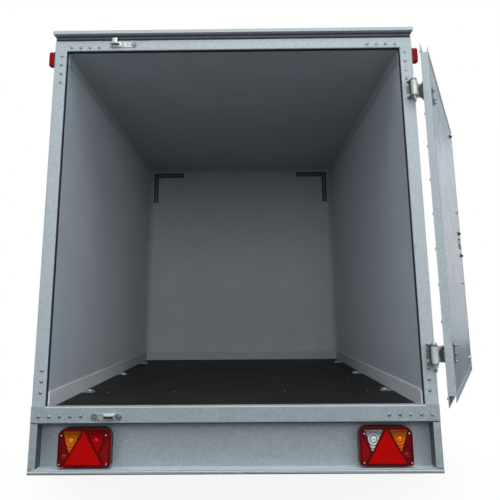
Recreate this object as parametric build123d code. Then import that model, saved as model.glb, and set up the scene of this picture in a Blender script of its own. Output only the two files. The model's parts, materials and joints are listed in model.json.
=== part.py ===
from build123d import *
import os

# Enclosed single-axle cargo trailer with one rear door, modelled in millimetres.
# The origin is the centre of the towing ball, +Y points forward, +X to the right and +Z up.
# Heights named *_Z and places named *_Y are in that frame; every other size is a length.

# ---------------------------------------------------------------- overall sizes
BALL_HEIGHT = 430  # towing ball centre above the ground
SILL_HEIGHT = 505  # top of the rear sill above the ground
HOLD_WIDTH = 1500  # between the inner faces of the side walls
OPENING_HEIGHT = 1510  # sill top to the underside of the header
HOLD_LENGTH = 2500  # rear frame face to the inner face of the front wall
DRAWBAR_REACH = 1260  # ball centre to the outer face of the front wall

# ---------------------------------------------------------------- walls, floor and roof
PANEL = 40  # sandwich panel of the walls and roof
FLOOR_THICK = 15
FLOOR_DROP = 12  # floor top below the sill top
RISER_HEIGHT = 23
RISER_THICK = 20
RISER_INSET = 3
CAP_HEIGHT = 15
CAP_SHEET = 2
CAP_SIDE_OVERHANG = 5
CAP_REAR_OVERHANG = 26
CAP_FRONT_OVERHANG = 10

# ---------------------------------------------------------------- rear frame
SHEET = 2.5  # galvanised sheet of the folded frame parts
POST_WIDTH = 55
POST_DEPTH = 45
POST_RETURN = 28  # depth of the inner flange, where the wall and roof panels start
POST_LIP = 18
EDGE_RAIL_DROP = 98  # roof edge rail below the frame's top
HEADER_HEIGHT = 50
BEND_RADIUS = 5
SILL_DEPTH = 61
SKIRT_DEPTH = 188  # sill underside to the bottom of the lip
SKIRT_STILE = 27
STILE_NOTCH = 4  # stile below the sill and above the shelf
SKIRT_RECESS = 60
SKIRT_SHEET = 2
LIP_HEIGHT = 13
EDGE_OUT = POST_WIDTH - PANEL  # how far posts and rails stand outside the wall panels

# ---------------------------------------------------------------- chassis and axle
RAIL_HEIGHT = 100
RAIL_LAP = 5  # side rails reach this far under the floor
RAIL_WIDTH = POST_WIDTH + RAIL_LAP
RAIL_SHEET = 3
CROSS_HEIGHT = 80
CROSS_WIDTH = 40
CROSS_COUNT = 5
AXLE_BEHIND_MIDDLE = 80  # wheel centre behind the middle of the load space
WHEEL_RADIUS = 292
TYRE_WIDTH = 165
RIM_RADIUS = 165
RIM_FLANGE = 13
RIM_WIDTH = 120
RIM_SHEET = 4
BEAM_SIZE = 70
BEAM_TO_RAIL = 4
ARM_LENGTH = 180
ARM_THICK = 30
ARM_GAP = 6  # side rail to swing arm
TYRE_GAP = 10  # swing arm to tyre
DRUM_RADIUS = 112
STUB_RADIUS = 20
RUNNING_GAP = 0.1
GUARD_GAP = 50  # tyre to mudguard
GUARD_SHEET = 3
GUARD_LIP = 26
GUARD_SIDE_GAP = 12  # tyre sidewall to the mudguard's lip
GUARD_DROP = 60  # mudguard ends below the wheel centre

# ---------------------------------------------------------------- drawbar, coupling and jockey wheel
DRAW_ARM_WIDTH = 50
DRAW_ARM_HEIGHT = 80
DRAW_ARM_SHEET = 4
DRAW_FRONT = (35, -380)
DRAW_REAR_X = 700
SHAFT_Z = 50
SHAFT_RADIUS = 25
BALL_SOCKET_RADIUS = 25.3
SOCKET_DEPTH = 16
JOCKEY_X = -135
JOCKEY_Y = -400
JOCKEY_TUBE_RADIUS = 24
JOCKEY_TUBE_WALL = 2.5
JOCKEY_WHEEL_RADIUS = 105
JOCKEY_WHEEL_WIDTH = 60
JOCKEY_TRAIL = 40
JOCKEY_PIN_RADIUS = 6

# ---------------------------------------------------------------- door
DOOR_OPEN_ANGLE = 248.6  # from closed, as the trailer stands
DOOR_GAP = 6  # door edge to the opening
DOOR_TO_FRAME = 5  # outer skin to the frame face when closed
DOOR_SKIN = 2
DOOR_DEPTH = 30  # behind the outer skin
DOOR_OVERLAP = 15  # outer skin over the header and sill
DOOR_SIDE_OVERLAP = 10
DOOR_RAIL_RECESS = 25  # top and bottom rails open outwards by this much
DOOR_FLANGE = 28
HINGE_X_IN = 14  # hinge pin inside the frame's outer side
HINGE_BEHIND = 40  # hinge pin behind the frame face
HINGE_BARREL = 13.5
HINGE_PIN = 6
HINGE_HEIGHT = 78
HINGE_EAR = 6
HINGE_PLATE = 5
HINGE_PLATE_IN = 23  # bracket plate inside the pin
STRAP_LENGTH = 94
STRAP_CRANK = 20  # length of the strap's step down to the door
PIN_STUB = 26
UPPER_HINGE = 206  # below the underside of the header
LOWER_HINGE = 188
LOCK_X = -538
LOCK_ROD_RADIUS = 8
LOCK_ROD_BEHIND = 30  # rod centre behind the frame face

# ---------------------------------------------------------------- lamps and fittings
LAMP_WIDTH = 208
LAMP_HEIGHT = 140
LAMP_X = 591
LAMP_SPARE = SKIRT_DEPTH - LIP_HEIGHT - SKIRT_SHEET - LAMP_HEIGHT  # free height of the skirt beside the lamp
LAMP_SPARE_ABOVE = 23 / 33  # share of it above the lamp
LAMP_BELOW_SILL = SILL_DEPTH + LAMP_SPARE * LAMP_SPARE_ABOVE + LAMP_HEIGHT / 2  # sill top to the lamp's middle
LAMP_INSET = 10  # lamp face ahead of the rear face
LAMP_LENS_DEPTH = 20
MARKER_HEIGHT = 70
MARKER_STAND = 28
KEEPER_LENGTH = 125
KEEPER_HEIGHT = 28
SKIRTING_HEIGHT = 62
SKIRTING_THICK = 6
COVE_WALL_LEG = 55
COVE_CEILING_LEG = 30
NOSE_TRIM = 24  # trim at the top of the front wall
CORNER_LEG = 28
TRIM_THICK = 3
SEAL_THICK = 1
LASHING_PLACES = (540, 1360, 2160)  # ahead of the rear frame face

# ---------------------------------------------------------------- planes worked out from the sizes
GROUND_Z = -BALL_HEIGHT
SILL_Z = GROUND_Z + SILL_HEIGHT
FLOOR_Z = SILL_Z - FLOOR_DROP
HEADER_Z = SILL_Z + OPENING_HEIGHT
CEILING_Z = HEADER_Z
FRAME_TOP_Z = HEADER_Z + HEADER_HEIGHT
RISER_TOP_Z = FRAME_TOP_Z + RISER_HEIGHT
CAP_TOP_Z = RISER_TOP_Z + CAP_HEIGHT
SILL_BOTTOM_Z = SILL_Z - SILL_DEPTH
SKIRT_BOTTOM_Z = SILL_BOTTOM_Z - SKIRT_DEPTH
RAIL_BOTTOM_Z = SILL_BOTTOM_Z - RAIL_HEIGHT
CROSS_TOP_Z = FLOOR_Z - FLOOR_THICK
CROSS_BOTTOM_Z = CROSS_TOP_Z - CROSS_HEIGHT

FRONT_OUT_Y = -DRAWBAR_REACH
FRONT_IN_Y = FRONT_OUT_Y - PANEL
REAR_Y = FRONT_IN_Y - HOLD_LENGTH
WALL_REAR_Y = REAR_Y + POST_RETURN
FRAME_FRONT_Y = REAR_Y + POST_DEPTH
RAIL_REAR_Y = REAR_Y + SKIRT_RECESS + SKIRT_SHEET
EDGE_FRONT_Y = FRONT_OUT_Y + EDGE_OUT

HALF_HOLD = HOLD_WIDTH / 2
WALL_OUT_X = HALF_HOLD + PANEL
FRAME_X = HALF_HOLD + POST_WIDTH
RAIL_IN_X = FRAME_X - RAIL_WIDTH

WHEEL_Y = (REAR_Y + FRONT_IN_Y) / 2 - AXLE_BEHIND_MIDDLE
WHEEL_Z = GROUND_Z + WHEEL_RADIUS
BEAM_Z = RAIL_BOTTOM_Z - BEAM_TO_RAIL - BEAM_SIZE / 2
BEAM_Y = WHEEL_Y + (ARM_LENGTH**2 - (BEAM_Z - WHEEL_Z) ** 2) ** 0.5
SWING_IN_X = FRAME_X + ARM_GAP
SWING_OUT_X = SWING_IN_X + ARM_THICK
TYRE_X = SWING_OUT_X + TYRE_GAP + TYRE_WIDTH / 2
GUARD_OUT_X = TYRE_X + TYRE_WIDTH / 2 + GUARD_SIDE_GAP + GUARD_SHEET
GUARD_RADIUS = WHEEL_RADIUS + GUARD_GAP + GUARD_SHEET

HINGE_X = FRAME_X - HINGE_X_IN
HINGE_Y = REAR_Y - HINGE_BEHIND
LAMP_BACK = LAMP_INSET + LAMP_LENS_DEPTH


# ---------------------------------------------------------------- helpers
def block(x, y, z):
    """A box between two corners, each axis given as (low, high)."""
    low = Vector(min(x), min(y), min(z))
    size = (abs(x[1] - x[0]), abs(y[1] - y[0]), abs(z[1] - z[0]))
    return Pos(low) * Box(*size, align=(Align.MIN, Align.MIN, Align.MIN))


def right_and_left(shape):
    """A right-hand piece and its mirror image on the left."""
    return [shape, mirror(shape, Plane.YZ)]


def rod(radius, start, end):
    """A round bar between two points."""
    run = Vector(*end) - Vector(*start)
    return Plane(origin=start, z_dir=run) * Cylinder(
        radius, run.length, align=(Align.CENTER, Align.CENTER, Align.MIN)
    )


def drum(radius, x_low, x_high, y, z):
    """A round bar along X."""
    return rod(radius, (x_low, y, z), (x_high, y, z))


def frame_section(width, panel_from):
    """A folded channel section with its web on the X axis, open towards +Y where a panel slides in."""
    centre = Pos(width / 2, POST_DEPTH / 2)
    outer = centre * RectangleRounded(width, POST_DEPTH, BEND_RADIUS)
    inner = centre * RectangleRounded(width - 2 * SHEET, POST_DEPTH - 2 * SHEET, BEND_RADIUS - SHEET)
    mouth = Pos(width / 2, POST_DEPTH) * Rectangle(width - 2 * POST_LIP, 4 * SHEET)
    panel = Pos(panel_from, POST_RETURN) * Rectangle(PANEL, POST_DEPTH, align=(Align.MIN, Align.MIN))
    return outer - inner - mouth - panel


def revolved(points, x, y, z):
    """A turned piece about X from (along the axis, radius) points; x, y, z place its zero."""
    profile = Plane.XZ * make_face(Polyline(*points, close=True).edges())
    return Pos(x, y, z) * revolve(profile, Axis.X)


def section(y, z, width, height, radius):
    """A rounded rectangle across the trailer, centred on its middle plane, for a loft along Y."""
    return Plane(origin=(0, y, z), x_dir=(1, 0, 0), z_dir=(0, 1, 0)) * RectangleRounded(width, height, radius)


def pieces(solids):
    """Several solids kept apart in one node."""
    flat = []
    for item in solids:
        flat.extend(item.solids())
    return Compound(children=flat)


# ---------------------------------------------------------------- rear frame
def rear_posts():
    """Two folded posts, mitred to the header."""
    foot = SILL_BOTTOM_Z + SHEET
    profile = Plane(origin=(HALF_HOLD, REAR_Y, foot)) * frame_section(POST_WIDTH, 0)
    bar = extrude(profile, FRAME_TOP_Z - foot)
    mitre = Plane.XZ * make_face(
        Polyline(
            (HALF_HOLD, foot), (FRAME_X, foot), (FRAME_X, FRAME_TOP_Z), (HALF_HOLD, HEADER_Z), close=True
        ).edges()
    )
    keep = Pos(0, REAR_Y + 2 * POST_DEPTH, 0) * extrude(mitre, 4 * POST_DEPTH)
    return pieces(right_and_left(bar & keep))


def rear_header():
    """The folded header between the mitres."""
    side_on = Plane(origin=(-FRAME_X, REAR_Y, FRAME_TOP_Z), x_dir=(0, 0, -1), z_dir=(1, 0, 0))
    bar = extrude(side_on * frame_section(HEADER_HEIGHT, HEADER_HEIGHT - PANEL), 2 * FRAME_X)
    mitre = Plane.XZ * make_face(
        Polyline(
            (-FRAME_X, FRAME_TOP_Z), (FRAME_X, FRAME_TOP_Z), (HALF_HOLD, HEADER_Z), (-HALF_HOLD, HEADER_Z), close=True
        ).edges()
    )
    keep = Pos(0, REAR_Y + 2 * POST_DEPTH, 0) * extrude(mitre, 4 * POST_DEPTH)
    return bar & keep


def rear_sill():
    """The folded sill: its web covers the post feet and its top flange turns down onto the floor."""
    web = block((-FRAME_X, FRAME_X), (REAR_Y - SHEET, REAR_Y), (SILL_BOTTOM_Z, SILL_Z))
    bottom = block((-FRAME_X, FRAME_X), (REAR_Y, WALL_REAR_Y), (SILL_BOTTOM_Z, SILL_BOTTOM_Z + SHEET))
    top = block((-HALF_HOLD, HALF_HOLD), (REAR_Y, REAR_Y + POST_RETURN), (SILL_Z - SHEET, SILL_Z))
    turn = block(
        (-HALF_HOLD, HALF_HOLD), (REAR_Y + POST_RETURN - SHEET, REAR_Y + POST_RETURN), (FLOOR_Z, SILL_Z - SHEET)
    )
    return web + bottom + top + turn


def lamp_panel():
    """The recessed panel below the sill that carries the tail lamps, with its stiffening lip."""
    top, shelf = SILL_BOTTOM_Z, SKIRT_BOTTOM_Z + LIP_HEIGHT
    stile_z = (shelf + SKIRT_SHEET + STILE_NOTCH, top - STILE_NOTCH)
    inner = FRAME_X - SKIRT_STILE
    back = REAR_Y + SKIRT_RECESS
    sheet = block((-inner, inner), (back, back + SKIRT_SHEET), (shelf, top))
    sheet += block((-FRAME_X, FRAME_X), (REAR_Y, back + SKIRT_SHEET), (shelf, shelf + SKIRT_SHEET))
    sheet += block((-FRAME_X, FRAME_X), (REAR_Y - SKIRT_SHEET, REAR_Y), (SKIRT_BOTTOM_Z, shelf + SKIRT_SHEET))
    for side in (1, -1):
        sheet += block((side * inner, side * FRAME_X), (REAR_Y, REAR_Y + SKIRT_SHEET), stile_z)
        sheet += block((side * inner, side * (inner - SKIRT_SHEET)), (REAR_Y, back), stile_z)
        sheet += block((side * (FRAME_X - SKIRT_SHEET), side * FRAME_X), (REAR_Y, back + SKIRT_SHEET), (shelf, top))
    return sheet


def opening_seal():
    """The rubber that lines the opening on the inner flanges of the posts and the header."""
    y = (REAR_Y + BEND_RADIUS / 2, WALL_REAR_Y)
    side = block((HALF_HOLD - SEAL_THICK, HALF_HOLD), y, (SILL_Z, HEADER_Z))
    top = block((SEAL_THICK - HALF_HOLD, HALF_HOLD - SEAL_THICK), y, (HEADER_Z - SEAL_THICK, HEADER_Z))
    return pieces([*right_and_left(side), top])


# ---------------------------------------------------------------- load space
def floor_panel():
    """The plywood floor between the walls."""
    return block((-HALF_HOLD, HALF_HOLD), (REAR_Y, FRONT_IN_Y), (CROSS_TOP_Z, FLOOR_Z))


def side_wall():
    """The right wall panel."""
    return block((HALF_HOLD, WALL_OUT_X), (WALL_REAR_Y, FRONT_OUT_Y), (SILL_BOTTOM_Z, CEILING_Z))


def front_wall():
    """The front wall panel, between the side walls."""
    return block((-HALF_HOLD, HALF_HOLD), (FRONT_IN_Y, FRONT_OUT_Y), (SILL_BOTTOM_Z, CEILING_Z))


def roof_panel():
    """The roof panel, lying on the walls."""
    return block((-WALL_OUT_X, WALL_OUT_X), (WALL_REAR_Y, FRONT_OUT_Y), (CEILING_Z, CEILING_Z + PANEL))


RISER_Y = (REAR_Y + RISER_INSET, EDGE_FRONT_Y - RISER_INSET)


def roof_riser():
    """The dark band of four strips between the frame's top and the cap."""
    half, (back, front) = FRAME_X - RISER_INSET, RISER_Y
    z = (FRAME_TOP_Z, RISER_TOP_Z)
    side = block((half - RISER_THICK, half), (back + RISER_THICK, front - RISER_THICK), z)
    rear = block((-half, half), (back, back + RISER_THICK), z)
    nose = block((-half, half), (front - RISER_THICK, front), z)
    return pieces([*right_and_left(side), rear, nose])


def roof_cap():
    """The cap sheet over the roof."""
    half = FRAME_X + CAP_SIDE_OVERHANG
    y = (REAR_Y - CAP_REAR_OVERHANG, EDGE_FRONT_Y + CAP_FRONT_OVERHANG)
    inner = FRAME_X - RISER_INSET - RISER_THICK
    inner_y = (RISER_Y[0] + RISER_THICK, RISER_Y[1] - RISER_THICK)
    under = block((-inner, inner), inner_y, (RISER_TOP_Z, CAP_TOP_Z - CAP_SHEET))
    return block((-half, half), y, (RISER_TOP_Z, CAP_TOP_Z)) - under


def edge_rail(length):
    """A folded channel that wraps the roof's edge, along +Y from the origin, its web on the right."""
    drop = EDGE_RAIL_DROP
    web = block((-SHEET, 0), (0, length), (-drop, 0))
    top = block((-POST_WIDTH, 0), (0, length), (-SHEET, 0))
    turn = block((-EDGE_OUT, 0), (0, length), (-drop, SHEET - drop))
    return web + top + turn


def top_rails():
    """The roof edge rails on both sides and across the front, mitred."""
    run = EDGE_FRONT_Y - FRAME_FRONT_Y
    side = Pos(FRAME_X, FRAME_FRONT_Y, FRAME_TOP_Z) * edge_rail(run)
    front = Pos(-FRAME_X, EDGE_FRONT_Y, FRAME_TOP_Z) * (Rot(0, 0, 90) * edge_rail(2 * FRAME_X)).mirror(Plane.YZ)
    inner = FRAME_X - POST_WIDTH
    wedge = make_face(
        Polyline(
            (inner, EDGE_FRONT_Y - POST_WIDTH),
            (FRAME_X + 1, EDGE_FRONT_Y + 1),
            (FRAME_X + 1, FRAME_FRONT_Y),
            (inner, FRAME_FRONT_Y),
            close=True,
        ).edges()
    )
    keep = Pos(0, 0, GROUND_Z) * extrude(wedge, 4 * OPENING_HEIGHT)
    sides = right_and_left(side & keep)
    across = front - keep - mirror(keep, Plane.YZ)
    return pieces([*sides, across])


def front_corner_posts():
    """Folded angles over the two front corners."""
    z = (SILL_BOTTOM_Z, FRAME_TOP_Z - EDGE_RAIL_DROP)
    leg = POST_WIDTH
    post = block((FRAME_X - SHEET, FRAME_X), (EDGE_FRONT_Y - leg, EDGE_FRONT_Y), z)
    post += block((FRAME_X - leg, FRAME_X), (EDGE_FRONT_Y - SHEET, EDGE_FRONT_Y), z)
    post += block((WALL_OUT_X, FRAME_X), (EDGE_FRONT_Y - leg, EDGE_FRONT_Y - leg + SHEET), z)
    post += block((FRAME_X - leg, FRAME_X - leg + SHEET), (FRONT_OUT_Y, EDGE_FRONT_Y), z)
    return pieces(right_and_left(post))


def interior_trims():
    """Skirting, ceiling coves and front corner trims inside the load space."""
    y = (WALL_REAR_Y + TRIM_THICK, FRONT_IN_Y - SKIRTING_THICK)
    skirt_top = FLOOR_Z + SKIRTING_HEIGHT
    cove_foot = CEILING_Z - COVE_WALL_LEG
    skirt = block((HALF_HOLD - SKIRTING_THICK, HALF_HOLD), y, (FLOOR_Z, skirt_top))
    cove = block((HALF_HOLD - TRIM_THICK, HALF_HOLD), y, (cove_foot, CEILING_Z))
    cove += block((HALF_HOLD - COVE_CEILING_LEG, HALF_HOLD), y, (CEILING_Z - TRIM_THICK, CEILING_Z))
    corner_z = (skirt_top, cove_foot)
    leg = CORNER_LEG
    corner = block((HALF_HOLD - TRIM_THICK, HALF_HOLD), (FRONT_IN_Y - leg, FRONT_IN_Y), corner_z)
    corner += block((HALF_HOLD - leg, HALF_HOLD), (FRONT_IN_Y - TRIM_THICK, FRONT_IN_Y), corner_z)
    across = block((-HALF_HOLD, HALF_HOLD), (FRONT_IN_Y - SKIRTING_THICK, FRONT_IN_Y), (FLOOR_Z, skirt_top))
    half = HALF_HOLD - COVE_CEILING_LEG
    nose = block((-half, half), (FRONT_IN_Y - TRIM_THICK, FRONT_IN_Y), (CEILING_Z - NOSE_TRIM, CEILING_Z))
    nose += block((-half, half), (FRONT_IN_Y - NOSE_TRIM, FRONT_IN_Y), (CEILING_Z - TRIM_THICK, CEILING_Z))
    return pieces([*right_and_left(skirt), *right_and_left(cove), *right_and_left(corner), across, nose])


def ceiling_brackets():
    """Perforated corner plates on the front wall, under the ceiling."""
    arm, width, thick = 250, 38, 3
    right = HALF_HOLD - COVE_CEILING_LEG
    top = CEILING_Z - NOSE_TRIM
    y = (FRONT_IN_Y - TRIM_THICK - thick, FRONT_IN_Y - TRIM_THICK)
    plate = block((right - arm, right), y, (top - width, top))
    plate += block((right - width, right), y, (top - arm, top))
    for step in range(1, 10):
        offset = step * arm / 10 + width / 4
        for x, z in ((right - offset, top - width / 2), (right - width / 2, top - offset)):
            plate -= rod(5, (x, y[0] - 1, z), (x, y[1] + 1, z))
    spacer = block((right - arm, right), (y[1], FRONT_IN_Y), (top - 8, top))
    return pieces(right_and_left(plate + spacer))


def lashing_eyes():
    """Six lashing plates with rings, beside the walls."""
    eyes = []
    for place in LASHING_PLACES:
        x, y = HALF_HOLD - SKIRTING_THICK - 32, REAR_Y + place
        plate = Pos(x, y, FLOOR_Z + 1.5) * Box(56, 34, 3)
        ring = Pos(x - 6, y, FLOOR_Z + 7) * Torus(16, 3.5)
        eyes.extend(right_and_left(plate + ring))
    return pieces(eyes)


# ---------------------------------------------------------------- chassis
def chassis_rails():
    """The two folded side rails, with an upstand that holds the wall's foot."""
    y = (RAIL_REAR_Y, FRONT_OUT_Y)
    web = block((FRAME_X - RAIL_SHEET, FRAME_X), y, (RAIL_BOTTOM_Z, SILL_BOTTOM_Z))
    top = block((RAIL_IN_X, FRAME_X), y, (SILL_BOTTOM_Z - RAIL_SHEET, SILL_BOTTOM_Z))
    bottom = block((RAIL_IN_X, FRAME_X), y, (RAIL_BOTTOM_Z, RAIL_BOTTOM_Z + RAIL_SHEET))
    upstand_y = (RAIL_REAR_Y, EDGE_FRONT_Y - POST_WIDTH)
    upstand = block((WALL_OUT_X, WALL_OUT_X + RAIL_SHEET), upstand_y, (SILL_BOTTOM_Z, SILL_Z))
    return pieces(right_and_left(web + top + bottom + upstand))


def crossmembers():
    """Folded crossmembers under the floor, notched into the side rails."""
    bars = []
    first = RAIL_REAR_Y
    pitch = (FRONT_OUT_Y - CROSS_WIDTH - first) / (CROSS_COUNT - 1)
    inner = RAIL_IN_X
    outer = FRAME_X - RAIL_SHEET
    rail_clear = SILL_BOTTOM_Z - RAIL_SHEET
    for index in range(CROSS_COUNT):
        y = first + index * pitch
        top_z = SILL_BOTTOM_Z if index == CROSS_COUNT - 1 else CROSS_TOP_Z
        web = block((-inner, inner), (y, y + RAIL_SHEET), (CROSS_BOTTOM_Z, top_z))
        web += block((-outer, outer), (y, y + RAIL_SHEET), (CROSS_BOTTOM_Z, rail_clear))
        web += block((-inner, inner), (y, y + CROSS_WIDTH), (top_z - RAIL_SHEET, top_z))
        web += block((-inner, inner), (y, y + CROSS_WIDTH), (CROSS_BOTTOM_Z, CROSS_BOTTOM_Z + RAIL_SHEET))
        bars.append(web)
    return pieces(bars)


def drawbar_arm():
    """The right arm of the V drawbar, a closed rectangular tube that runs back under the floor."""
    front_x, front_y = DRAW_FRONT
    rear_y = BEAM_Y + BEAM_SIZE / 2 + 10
    z = (CROSS_BOTTOM_Z - DRAW_ARM_HEIGHT, CROSS_BOTTOM_Z)
    half = DRAW_ARM_WIDTH / 2

    def plan(half_width):
        return make_face(
            Polyline(
                (front_x - half_width, front_y),
                (front_x + half_width, front_y),
                (DRAW_REAR_X + half_width, rear_y),
                (DRAW_REAR_X - half_width, rear_y),
                close=True,
            ).edges()
        )

    tube = Pos(0, 0, z[0]) * extrude(plan(half), DRAW_ARM_HEIGHT)
    hollow = Pos(0, 0, z[0] + DRAW_ARM_SHEET) * extrude(
        plan(half - DRAW_ARM_SHEET), DRAW_ARM_HEIGHT - 2 * DRAW_ARM_SHEET
    )
    return tube - hollow


def axle_beam():
    """The square torsion beam under the side rails, with its mounting plates."""
    beam = block(
        (-SWING_IN_X, SWING_IN_X),
        (BEAM_Y - BEAM_SIZE / 2, BEAM_Y + BEAM_SIZE / 2),
        (BEAM_Z - BEAM_SIZE / 2, BEAM_Z + BEAM_SIZE / 2),
    )
    beam = chamfer(beam.edges().filter_by(Axis.X), 8)
    top = BEAM_Z + BEAM_SIZE / 2
    plate = block((RAIL_IN_X, FRAME_X), (BEAM_Y - 60, BEAM_Y + 60), (top, top + BEAM_TO_RAIL))
    for item in right_and_left(plate):
        beam += item
    return beam


def swing_arm():
    """The right trailing arm with its brake back plate and stub axle."""
    lever = make_hull(
        [
            *(Pos(BEAM_Y, BEAM_Z) * Circle(45)).edges(),
            *(Pos(WHEEL_Y, WHEEL_Z) * Circle(32)).edges(),
        ]
    )
    arm = Pos(SWING_IN_X, 0, 0) * extrude(Plane.YZ * lever, ARM_THICK)
    back_plate = drum(DRUM_RADIUS - 6, SWING_OUT_X, SWING_OUT_X + 4, WHEEL_Y, WHEEL_Z)
    stub = drum(STUB_RADIUS, SWING_OUT_X, TYRE_X - 28, WHEEL_Y, WHEEL_Z)
    return arm + back_plate + stub


def wheel_rim(side):
    """A pressed steel wheel with its brake drum and hub, side +1 for the right."""
    half, seat, drop = RIM_WIDTH / 2, RIM_RADIUS, RIM_RADIUS - 15
    top, t = RIM_RADIUS + RIM_FLANGE, RIM_SHEET
    barrel = [
        (-half, top), (-half + t, top), (-half + t + 2, seat + 2), (-25, seat), (-20, drop), (20, drop),
        (25, seat), (half - t - 2, seat + 2), (half - t, top), (half, top), (half, seat - t), (25 + t, seat - t),
        (20 + t, drop - t), (-20 - t, drop - t), (-25 - t, seat - t), (-half, seat - t),
    ]
    disc = [(16, drop - t), (24, drop - t), (44, 124), (34, 88), (34, 20), (28, 20), (28, 90), (37, 122)]
    hub_end = TYRE_X - 30
    rim = revolved(barrel, 0, 0, 0) + revolved(disc, 0, 0, 0)
    for index in range(5):
        turn = Rot(index * 72, 0, 0)
        rim -= turn * rod(7, (0, 0, 56), (60, 0, 56))
    for index in range(10):
        turn = Rot(index * 36, 0, 0)
        rim -= turn * rod(11, (0, 0, 106), (60, 0, 106))
    shell = [
        (SWING_OUT_X + 8 - TYRE_X, DRUM_RADIUS), (28, DRUM_RADIUS), (28, 20.5), (18, 20.5), (18, 48),
        (22, DRUM_RADIUS - 8), (SWING_OUT_X + 8 - TYRE_X, DRUM_RADIUS - 8),
    ]
    shell = revolved(shell, 0, 0, 0)
    bore = STUB_RADIUS + RUNNING_GAP
    hub = revolved([(-55, bore), (-55, 48), (28, 48), (28, 33), (62, 33), (66, 26), (66, 0), (-26, 0), (-26, bore)], 0, 0, 0)
    wheel = rim + shell + hub
    wheel = Pos(TYRE_X, WHEEL_Y, WHEEL_Z) * wheel
    return wheel if side > 0 else mirror(wheel, Plane.YZ)


def tyre(side):
    """A plain tyre body seated between the rim's flanges."""
    half, bead = TYRE_WIDTH / 2, RIM_WIDTH / 2 - RIM_SHEET - 3
    seat, r = RIM_RADIUS + 3, WHEEL_RADIUS
    profile = Plane.XZ * make_face(
        [
            *Polyline((-bead, seat), (bead, seat)).edges(),
            *Polyline((bead, seat), (bead, seat + 12)).edges(),
            *Spline((bead, seat + 12), (half, (seat + r) / 2), (half - 12, r - 14)).edges(),
            *ThreePointArc((half - 12, r - 14), (half - 17, r - 7), (half - 25, r - 3)).edges(),
            *ThreePointArc((half - 25, r - 3), (0, r), (25 - half, r - 3)).edges(),
            *ThreePointArc((25 - half, r - 3), (17 - half, r - 7), (12 - half, r - 14)).edges(),
            *Spline((12 - half, r - 14), (-half, (seat + r) / 2), (-bead, seat + 12)).edges(),
            *Polyline((-bead, seat + 12), (-bead, seat)).edges(),
        ]
    )
    body = Pos(TYRE_X, WHEEL_Y, WHEEL_Z) * revolve(profile, Axis.X)
    return body if side > 0 else mirror(body, Plane.YZ)


def mudguard():
    """The right mudguard with its two carrying straps from the side rail."""
    r, width = GUARD_RADIUS, GUARD_OUT_X - FRAME_X - 3
    inner_x = FRAME_X + 3
    cover = drum(r, inner_x, GUARD_OUT_X, WHEEL_Y, WHEEL_Z)
    cover -= drum(r - GUARD_SHEET, inner_x - 1, GUARD_OUT_X - GUARD_SHEET, WHEEL_Y, WHEEL_Z)
    cover -= drum(r - GUARD_LIP, inner_x, GUARD_OUT_X + 1, WHEEL_Y, WHEEL_Z)
    cover &= block((0, 2 * width + FRAME_X), (WHEEL_Y - r, WHEEL_Y + r), (WHEEL_Z - GUARD_DROP, WHEEL_Z + r))
    strap_z = (RAIL_BOTTOM_Z + 20, SILL_BOTTOM_Z - 20)
    ring = drum(r - GUARD_SHEET, FRAME_X, GUARD_OUT_X - GUARD_LIP, WHEEL_Y, WHEEL_Z)
    ring -= drum(r - GUARD_SHEET - 5, FRAME_X - 1, GUARD_OUT_X, WHEEL_Y, WHEEL_Z)
    straps = ring & block((FRAME_X, GUARD_OUT_X), (WHEEL_Y - r, WHEEL_Y + r), strap_z)
    return cover + straps


# ---------------------------------------------------------------- coupling and jockey wheel
def overrun_housing():
    """The overrun housing on the drawbar's nose, with its base plate and sliding shaft."""
    base_z = CROSS_BOTTOM_Z
    plate = block((-92, 92), (-520, -300), (base_z, base_z + 8))
    body = loft(
        [
            section(-505, base_z + 48, 100, 80, 14),
            section(-300, SHAFT_Z, 82, 82, 30),
        ]
    )
    body &= block((-60, 60), (-520, -290), (base_z, base_z + 200))
    nose = rod(36, (0, -300, SHAFT_Z), (0, -240, SHAFT_Z))
    return plate + body + nose


def overrun_gaiter():
    """The rubber bellows over the sliding shaft."""
    start, folds, pitch = -240, 5, 18
    points = [(0, SHAFT_RADIUS)]
    for index in range(folds):
        at = index * pitch
        points += [(at, 33), (at + pitch / 2, 42)]
    end = folds * pitch
    points += [(end, 33), (end, SHAFT_RADIUS)]
    face = Plane.XY * make_face(Polyline(*[(radius, along) for along, radius in points], close=True).edges())
    return Pos(0, start, SHAFT_Z) * revolve(face, Axis.Y)


def ball_coupling():
    """The coupling head and sliding shaft, with a socket for the towing ball."""
    shaft = rod(SHAFT_RADIUS, (0, -240, SHAFT_Z), (0, -125, SHAFT_Z))
    head = loft(
        [
            section(-150, SHAFT_Z, 64, 64, 28),
            section(-70, 30, 70, 66, 20),
            section(-6, 13, 70, 54, 12),
        ],
        ruled=True,
    )
    cup = Pos(0, 0, -SOCKET_DEPTH) * Cylinder(38, SOCKET_DEPTH + 8, align=(Align.CENTER, Align.CENTER, Align.MIN))
    dome = Pos(0, 0, 8) * (Sphere(38) & block((-40, 40), (-40, 40), (0, 60)))
    skirt = block((-33, 33), (-62, -10), (-SOCKET_DEPTH, 4))
    head = cup + dome + head + skirt
    socket = Pos(0, 0, -SOCKET_DEPTH - 1) * Cylinder(
        BALL_SOCKET_RADIUS, SOCKET_DEPTH + 1, align=(Align.CENTER, Align.CENTER, Align.MIN)
    )
    head = head - socket - Sphere(BALL_SOCKET_RADIUS)
    return head + shaft


def coupling_handle():
    """The coupling's release handle."""
    spine = [(-120, 82), (-60, 62), (10, 62), (40, 78), (46, 96), (30, 98), (6, 78), (-56, 78), (-112, 98)]
    face = Plane.YZ * make_face(Polyline(*spine, close=True).edges())
    grip = Pos(-17, 0, 0) * extrude(face, 34)
    return fillet(grip.edges().filter_by(Axis.X), 4) - ball_coupling()


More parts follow.
